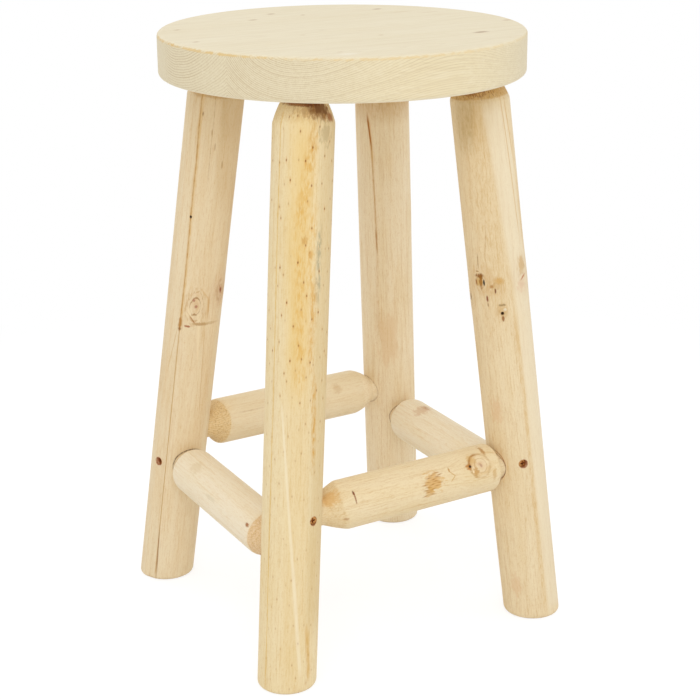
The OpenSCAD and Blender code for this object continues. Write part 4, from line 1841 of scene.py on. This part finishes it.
FRONT_RIGHT = LegPlan(
    "leg_front_right", (96.5, -95.8), (147.7, -139.0), -122.8,
    LogFigure(
        base="#E6D0A8", pale="#EDDCB8", warm="#DFC28E", late="#C4944A", cut=("#DCC496", "#C8983E"),
        cut_rings=(0.3, 0.6), pith=((-3.0, 2.5), (-6.0, -2.0)), ring=2.4, ring_cover=0.15, warp=4.0,
        curl=0.2, curly=(345.0, 480.0, 0.25), seed=0.57,
        marks=(
            # Washes: tan in the middle, painted shade at the top under the seat, and pale on the right.
            Streak((-10, -2), (560, 330), (46, 44), "#CFA866", 0.4, wander=1.5, patchy=0.6, fade=30),
            Streak((0, 0), (560, 515), (60, 44), "#CCAA70", 0.3, fade=14),
            Streak((28, 60), (545, 330), (32, 32), "#EDE0C4", 0.5, wander=1.5, soft=0.4, fade=8),
            Streak((60, 65), (330, 5), (32, 32), "#EDE0C4", 0.5, wander=0.8, soft=0.3, fade=8),
            Streak((28, 31), (330, 5), (7, 7), "#D0A45C", 0.4, soft=0.6, patchy=0.6),
            # Painted shade on the left side under the cone, and thin lines.
            Streak((-34, -40), (556, 508), (34, 28), "#AC8A48", 0.5, patchy=0.3, soft=0.6),
            Streak((52.7, 64.2), (545, 490), (2.6, 2.6), "#CFA25A", 0.6, wander=0.4),
            Streak((42.5, 60), (552, 415), (2.4, 2.4), "#CFA25A", 0.55, wander=0.4),
            Streak((-37.6, -38.5), (399, 386), (1.8, 1.8), "#96683A", 0.75, wander=0.3, fade=3),
            Streak((-14, -22), (432, 396), (1.6, 2.0), "#B98A50", 0.5, wander=1.5, patchy=0.5),
            # Painted shade: a brown line under the seat, and a dark line in the front stretcher's gap.
            StainOrPaintedLight(-20, 560, 50, 9, "#8E5220", 0.7, 2.0),
            Mouth(-60.7, 173.3, 38, 38, 0.0, "#8E4A22", 0.85, 0.2, 0.9),
            # Two pinkish patches.
            StainOrPaintedLight(-31, 234, 16, 30, "#DDB68A", 0.5, 0.8),
            StainOrPaintedLight(-27, 40, 14, 30, "#DDB68A", 0.45, 0.8),
            # The left knot: its brown arcs and its black slit.
            StainOrPaintedLight(-40, 371, 10, 12, "#CCA458", 0.7, 0.7),
            StainOrPaintedLight(-38, 377.5, 12, 5.4, "#8A5414", 0.9, 0.9, 0.15),
            StainOrPaintedLight(-33.5, 376, 4.4, 6, "#8E5C1A", 0.9, 0.6, 0.15),
            StainOrPaintedLight(-46.6, 371, 2.6, 11, "#96602A", 0.85, 0.6),
            StainOrPaintedLight(-35.5, 370, 4.2, 15, "#A06A1C", 0.85, 0.6),
            StainOrPaintedLight(-41.5, 382, 5, 1.8, "#A87C44", 0.75, 0.3),
            StainOrPaintedLight(-28.5, 370.5, 2.4, 8, "#2A241C", 1.0, 0.15, 0.6),
            # The small knots beside and below it, with their slits, and the pale rim of a pit.
            StainOrPaintedLight(2, 371.5, 12, 9, "#CE9E4C", 0.65, 0.9),
            StainOrPaintedLight(-13.4, 366.4, 5, 4.4, "#B28040", 0.75, 0.6),
            StainOrPaintedLight(-7, 361.8, 2.0, 6.5, "#7E4A2A", 0.9, 0.3, 0.4),
            StainOrPaintedLight(-25, 353.7, 2.6, 8.5, "#8E4A28", 0.9, 0.3, 0.5),
            StainOrPaintedLight(-24.6, 347.5, 2.0, 6, "#9C7850", 0.75, 0.4),
            StainOrPaintedLight(3.5, 346.5, 10, 3, "#9A7E50", 0.8, 0.5),
            StainOrPaintedLight(4, 340, 11, 12, "#D0AC74", 0.5, 0.5),
            StainOrPaintedLight(7.9, 341.7, 4.0, 4.0, "#E8DCC0", 0.8, 0.6),
            StainOrPaintedLight(2.6, 333, 3.2, 8, "#96602C", 0.9, 0.4),
            # The knot on the right edge, and a dark spot on the left edge.
            StainOrPaintedLight(55.4, 382, 14, 24, "#C69C5A", 0.55, 0.7),
            Streak((62, 50), (372, 368), (7, 6), "#B4622E", 0.9, wander=0.0, fade=1.2),
            StainOrPaintedLight(50, 362, 15, 14, "#DDB494", 0.4, 1.2),
            StainOrPaintedLight(-74, 353, 4, 8, "#5A3A20", 0.8),
        ),
        knots=(
            Knot(-36, 373, 13, 16, KnotKind.SWIRL, 0.5, 0.9),
            Knot(-5, 366, 9, 10, KnotKind.SWIRL, 0.3, 0.5),
            Knot(3.1, 339.5, 7, 8, KnotKind.SWIRL, 0.4, 0.8),
            Knot(57.0, 372.1, 16, 22, KnotKind.SWIRL, 1.3, 0.8),
            Knot(-78.0, 353.5, 12, 16, KnotKind.RINGED, 0.5),
            Knot(165, 250, 12, 16, KnotKind.BARKED, 0.5),
        ),
        pits=(Pit(2.3, 338.0, 3.2, 2.6),),
    ),
    Cone(7.7, 1.4, -90.0, 0.6),
    gaps=(90.0, 0.0),
)
BACK_RIGHT = LegPlan(
    "leg_back_right", (98.5, 92.3), (147.2, 147.0), -120.2,
    LogFigure(
        base="#ECD9B4", pale="#F1E1C2", warm="#E4CA98", cut=("#DCC294", "#C39A62"),
        pith=((2.0, 3.0), (5.0, 0.0)), ring=2.5, ring_cover=0.12, seed=0.83,
        marks=(
            # The brown cone and the wood under it, on the front: the wood's own brown, and painted shade
            # from the seat.
            Streak((0, 0), (560, 512), (90, 90), "#B48234", 0.7, wander=0.5, soft=0.2, fade=16, patchy=0.3),
            # The resin line on the left, in pieces.
            Streak((-30, -24), (505, 455), (7, 5), "#D2A250", 0.5, wander=0.5, fade=8),
            Streak((-33.5, -26), (508, 474), (3.6, 2.8), "#AA6A1E", 0.95, wander=0.5, soft=0.7, fade=6),
            Streak((-26, -20.5), (476, 378), (3.4, 3.6), "#BE8A3C", 0.75, wander=0.8, patchy=0.3),
            Streak((-21, -19.5), (379, 352), (4.0, 3.2), "#AC7228", 0.85, wander=0.6, fade=6, patchy=0.2),
            Streak((-20, -24), (355, 250), (5, 7), "#CFA46A", 0.55, wander=2.0, patchy=0.7, fade=30),
            # A brown spot and a pinkish patch.
            StainOrPaintedLight(-21, 526, 6, 5, "#8A4A22", 0.8),
            StainOrPaintedLight(0, 250, 30, 80, "#DFBA8A", 0.45, 0.8),
        ),
        knots=(
            Knot(120, 390, 14, 19, KnotKind.RINGED, 0.6),
            Knot(-160, 210, 11, 15, KnotKind.RED, 0.6),
        ),
    ),
    gaps=(180.0, 180.0),
)
BACK_LEFT = LegPlan(
    "leg_back_left", (-91.5, 92.3), (-150.2, 145.5), -116.9,
    LogFigure(
        base="#E6D1AA", pale="#ECDBBA", warm="#DEC090", late="#CDA05C", cut=("#D8BC8C", "#C49C64"),
        pith=((-2.0, -3.5), (3.0, 2.0)), ring=2.7, ring_cover=0.18, seed=0.19,
        marks=(
            # The resin line on the left, with a branch, and its dark foot.
            Streak((-25.5, -24), (562, 300), (8, 7), "#D8AE62", 0.6, wander=0.8, patchy=0.4, fade=6),
            Streak((-26.5, -25), (562, 300), (2.6, 2.8), "#B27A2C", 0.85, wander=0.9, patchy=0.5, fade=6),
            Streak((-25.2, -25), (300, 8), (2.0, 2.0), "#B98A40", 0.75, wander=0.2, fade=3),
            Streak((-31, -46), (296, 250), (2.2, 1.6), "#CFA66A", 0.6, wander=0.4, fade=8),
            Streak((-25.0, -22.5), (60, 8), (2.2, 3.0), "#8E5A28", 0.75, wander=0.3),
            # Grain lines round the oval knot.
            Streak((19, 12), (262, 318), (4, 7), "#F0DCB6", 0.7, wander=0.5, fade=10),
            Streak((14, 29), (343, 333), (4, 4.4), "#CFA25C", 0.5, wander=0.4, fade=6),
            Streak((30, 31.4), (336, 314), (3.2, 3.0), "#C48C3E", 0.65, wander=0.3, fade=6),
            Streak((36.6, 27.8), (203, 300), (1.8, 1.5), "#CCA066", 0.55, wander=0.5),
            Streak((-13, 5), (318, 306), (2.0, 4.0), "#A86C24", 0.85, wander=0.2, fade=1.5),
            Streak((-17, -15), (335, 308), (2.0, 2.0), "#BE8E48", 0.5, wander=0.3, patchy=0.4, fade=6),
            # A thin line down from the seat, and painted shade on the right side under the seat.
            Streak((2, 2), (565, 462), (1.6, 1.6), "#B58A54", 0.5, patchy=0.6),
            Streak((50, 48), (560, 505), (46, 36), "#BC9658", 0.3, soft=0.3, fade=16),
            Streak((50, 46), (510, 440), (40, 34), "#CCAA74", 0.2, soft=0.3, fade=18),
            # In and under the oval knot: a pale side, brown bars and a reddish heart.
            StainOrPaintedLight(-9, 318, 8, 15, "#EFDAB2", 0.7, 0.5),
            StainOrPaintedLight(-25, 303, 5.5, 16, "#AE762C", 0.8, 0.6),
            StainOrPaintedLight(-25, 297.5, 5, 4, "#8E5A22", 0.8, 0.5),
            StainOrPaintedLight(16, 305.2, 22, 4.4, "#B48C56", 0.75, 0.4),
            StainOrPaintedLight(40, 306, 26, 4, "#C4A06C", 0.5, 0.6),
            StainOrPaintedLight(-9, 301.8, 8, 3, "#A65C34", 0.85, 0.4, 0.2),
            StainOrPaintedLight(-0.9, 331.2, 4.4, 5, "#A8624A", 0.75, 0.6),
            StainOrPaintedLight(5, 324.5, 4, 4, "#A8684A", 0.75, 0.6),
            # The pit on the resin line, and painted shade in the gap round the left stretcher.
            StainOrPaintedLight(-25.6, 420, 3.4, 4.4, "#4A2E16", 0.9, 0.2),
            Mouth(29.7, 140.8, 39.4, 39.4, 135.0, "#3E1E10", 1.0, 0.0, 1.1),
            # Short brown flecks near the top.
            StainOrPaintedLight(0.5, 511, 1.8, 9, "#AE7E48", 0.5, 0.5),
            StainOrPaintedLight(9.3, 496.7, 1.8, 10, "#AE7E48", 0.5, 0.5),
            StainOrPaintedLight(-21.4, 528.6, 2.2, 8, "#94602E", 0.7, 0.5),
            StainOrPaintedLight(28, 478, 2.2, 12, "#AE7E48", 0.5, 0.5),
        ),
        knots=(
            Knot(4.3, 323.0, 18, 33, KnotKind.OVAL, 0.6, 0.8),
            Knot(60, 341, 14, 22, KnotKind.RED, 0.8, 0.7),
            Knot(-140, 180, 11, 14, KnotKind.BARKED, 0.5),
            Knot(150, 420, 12, 16, KnotKind.RINGED, 0.5),
        ),
        pits=(Pit(-25.4, 420.2, 2.4, 1.8),),
    ),
    planed=((-39.5, 13.5, 1.0),),
    gaps=(120.0, 90.0),
)

STRETCHERS = (
    StretcherPlan(
        "stretcher_front", (166.0, 169.0), (9.0, 10.5), (4.0, 6.5),
        (Cone(1.3, 6.6, 48.0, 0.5), Cone(14.5, 1.0, 20.0, 2.8)),
        LogFigure(
            base="#E8D3AA", pale="#EFDEBA", warm="#E2C892", cut=("#E4CC9E", "#E8D3AA"),
            cut_rings=(0.2, 0.05), pith=((12.0, 13.0), (4.0, 3.0)), ring=2.3, ring_cover=0.08, curl=0.25,
            seed=0.43,
            marks=(
                # A golden patch by the left cone, and the flame: soft gold under short strokes.
                StainOrPaintedLight(36, 30, 26, 26, "#D8A658", 0.6, 0.6),
                StainOrPaintedLight(66, 145, 24, 24, "#D8A656", 0.7, 1.0),
                StainOrPaintedLight(88, 138, 14, 14, "#D2A458", 0.6, 1.0),
                *(
                    Streak((turn + bend, turn - bend), (along - 2.5, along + 2.5), (2.8, 2.4), "#B27A34", 1.0,
                           0.2, 0.3, fade=2.5)
                    for turn, along, bend in (
                        (46, 150, 0), (50, 144, 1), (56, 150, -1), (55, 140, 0), (60, 145, 1), (64, 138, -1),
                        (65, 147, 0), (70, 151, -1), (71, 143, 1), (69, 134, 0), (76, 138, -1), (76, 148, 0),
                        (87, 137, 0), (94, 142, -1), (95, 134, 1), (82, 143, 1), (82, 135, -1), (52, 153, 1),
                    )
                ),
                # The small squiggle beside the knot.
                StainOrPaintedLight(47.5, 165.4, 6, 2.4, "#C08C3C", 0.8, 0.3),
                Streak((51.9, 64.2), (165.4, 170.5), (2.6, 2.6), "#C89648", 0.75, wander=0.0, fade=0.8),
                Streak((64.2, 75), (170.5, 165), (2.8, 2.4), "#C89648", 0.7, wander=0.0, fade=1.2),
                # The knot at the right end: gold round it, its two rings and its pinkish heart.
                StainOrPaintedLight(38, 194, 16, 10, "#D2A458", 0.6, 1.0),
                StainOrPaintedLight(52, 189, 9, 9, "#B8741E", 0.85, 0.6),
                StainOrPaintedLight(69, 195, 12, 8, "#C08A36", 0.7, 0.8),
                Mouth(55, 201.5, 25, 24, 225.0, "#A86E22", 0.95, 0.3, 2.0),
                Mouth(56, 202.5, 15, 14, 225.0, "#B88040", 0.7, 0.4, 0.9),
                StainOrPaintedLight(57, 203, 4.5, 3.5, "#B4846C", 0.6, 0.5),
                StainOrPaintedLight(20, 212, 18, 5, "#B07A34", 0.75, 0.8),
                StainOrPaintedLight(84, 217, 14, 6, "#C6984E", 0.5, 0.8),
                # A painted highlight on the knot, and the slits by the left cone.
                StainOrPaintedLight(66.5, 192.5, 3, 2.6, "#F2DFB8", 0.9, 0.2),
                StainOrPaintedLight(44.3, 54.2, 6, 2.8, "#743A20", 0.95, 0.3, 0.3),
                StainOrPaintedLight(55, 54.4, 15, 2.0, "#965A34", 0.8, 0.5, 0.2),
                StainOrPaintedLight(102.6, 42.4, 4, 8, "#B07A44", 0.6),
            ),
            knots=(Knot(54.6, 202, 24, 23, KnotKind.CORED, 1.1, 0.8),),
            pits=(Pit(52.4, 190.1, 2.8, 2.2),),
        ),
    ),
    StretcherPlan(
        "stretcher_right", (137.5, 143.5), (13.0, 10.0), (4.0, 1.5),
        (Cone(3.0, 0.0, 0.0, 0.4), Cone(9.0, 4.0, -40.0, 0.8)),
        LogFigure(
            base="#EFE0C2", pale="#F3E8D0", warm="#E9D5AA", late="#D6B074", cut=("#E4CBA0", "#E4CBA0"),
            pith=((-2.0, 2.0), (1.0, 1.0)), ring=2.6, ring_cover=0.08, curl=0.25, seed=0.71,
            marks=(StainOrPaintedLight(-14, 179, 20, 22, "#CFA47A", 0.5, 0.8),),
            knots=(Knot(3.7, 180.8, 7, 9, KnotKind.RED, 0.4), Knot(110, 90, 11, 14, KnotKind.BARKED, 0.5)),
        ),
    ),
    StretcherPlan(
        "stretcher_back", (174.0, 170.5), (10.5, 14.0), (5.0, 3.0),
        (Cone(4.0, 3.0, -30.0, 1.2), Cone(11.5, 7.5, 117.0)),
        LogFigure(
            base="#ECD9B4", pale="#F1E2C2", warm="#E3CA9C", late="#D6B074", cut=("#F6E6C6", "#E8CA90"),
            cut_rings=(0.1, 0.9), pith=((2.0, -3.0), (15.5, -13.5)), ring=2.1, ring_cover=0.1, curl=0.2,
            seed=0.07,
            marks=(
                StainOrPaintedLight(-48.7, 74.7, 14, 13, "#CDA468", 0.35, 0.8),
                Streak((-62, -58), (100, 200), (3, 3), "#BE9254", 0.5, wander=1.5, patchy=0.7),
            ),
            knots=(Knot(140, 120, 13, 16, KnotKind.RINGED, 0.5),),
        ),
    ),
    StretcherPlan(
        "stretcher_left", (136.0, 131.0), (9.0, 12.5), (5.0, 2.5),
        (Cone(12.0, 3.0, 30.0, 1.0), Cone(5.0, 0.8, 0.0)),
        LogFigure(
            base="#EEDEBE", pale="#F2E5CC", warm="#E8D4AC", late="#D6B074", cut=("#EAD8B0", "#E0B880"),
            cut_rings=(0.1, 0.7), pith=((-1.5, -1.0), (1.0, 6.0)), ring=2.4, ring_cover=0.06, curl=0.2,
            seed=0.93,
            marks=(
                # Two soft patches, a brown spot and the slits on the front cone.
                StainOrPaintedLight(31, 73, 20, 22, "#DCC49A", 0.45, 1.0),
                StainOrPaintedLight(68.2, 127, 6, 28, "#CDBE9C", 0.3, 0.6),
                StainOrPaintedLight(59.5, 210.2, 5.5, 7.5, "#A0602C", 0.9, 0.3),
                Streak((53, 66), (227.4, 228.6), (5, 4), "#8A5226", 0.85, wander=0.0, fade=1.0),
                Streak((73, 86), (239, 240.5), (5, 4), "#7A421C", 0.85, wander=0.0, fade=1.0),
            ),
            knots=(Knot(-120, 140, 12, 15, KnotKind.SWIRL, 0.5),),
        ),
    ),
)

BOARDS = (
    ("seat_board_front", -400.0, -SEAM, SandedPine(
        BoardFigure((-137.3, 637.7), 1.7, 0.07, 3.0, 0.13, ((37.5, 0.4), (58.0, 0.4), (70.0, 0.4))),
        (
            Fleck(100.1, -95.8, 19, 8, "#9A6A3C", 0.8), Fleck(-76.1, -130.7, 8, 3, "#B8935F", 0.5),
            Fleck(-75.7, -144.6, 26, 14, "#F7EFDE", 0.5),
        ),
    )),
    ("seat_board_middle", -SEAM, SEAM, SandedPine(
        BoardFigure((-4.0, 675.0), 2.4, 0.03, 4.0, 0.37),
        (
            Fleck(-143.4, 76.0, 8, 4), Fleck(-160.8, -5.7, 8, 4), Fleck(109.0, 69.7, 30, 4, "#C7A878", 0.4),
            Fleck(135.4, 52.7, 26, 4, "#C7A878", 0.4), Fleck(168.6, -40.5, 12, 7, "#A97C48", 0.5),
            Fleck(8.5, -60.7, 7, 5, "#C9AC7E", 0.6), Fleck(-54.7, -20.4, 7, 4, "#C9AC7E", 0.5),
        ),
    )),
    ("seat_board_back", SEAM, 400.0, SandedPine(
        BoardFigure((128.0, 548.0), 2.1, -0.04, 3.5, 0.71),
        (
            Fleck(-48.3, 99.1, 12, 5, "#A8804C", 0.8), Fleck(-12.0, 129.4, 10, 6, "#A8804C", 0.7),
            Fleck(12.4, 104.5, 6, 4), Fleck(100.8, 103.2, 12, 6, "#9E7444", 0.8),
        ),
    )),
)


def main() -> None:
    """Build the stool piece by piece and the studio round it."""
    logging.basicConfig(level=logging.INFO, format="%(name)s: %(message)s")
    logs = Frame((FRONT_LEFT, FRONT_RIGHT, BACK_RIGHT, BACK_LEFT), STRETCHERS)
    Seat(logs).build(BOARDS)
    for k in range(4):
        logs.leg(k).build()
    for i in range(4):
        logs.stretcher(i).build()
    for side in ("front", "right", "back", "left"):
        node = frame["nodes"][side + "_stretcher_screws"]
        YellowZincSteel().dress(node)
        log.info("%s: dressed", node.name)
    Studio().build()


if __name__ == "__main__":
    main()
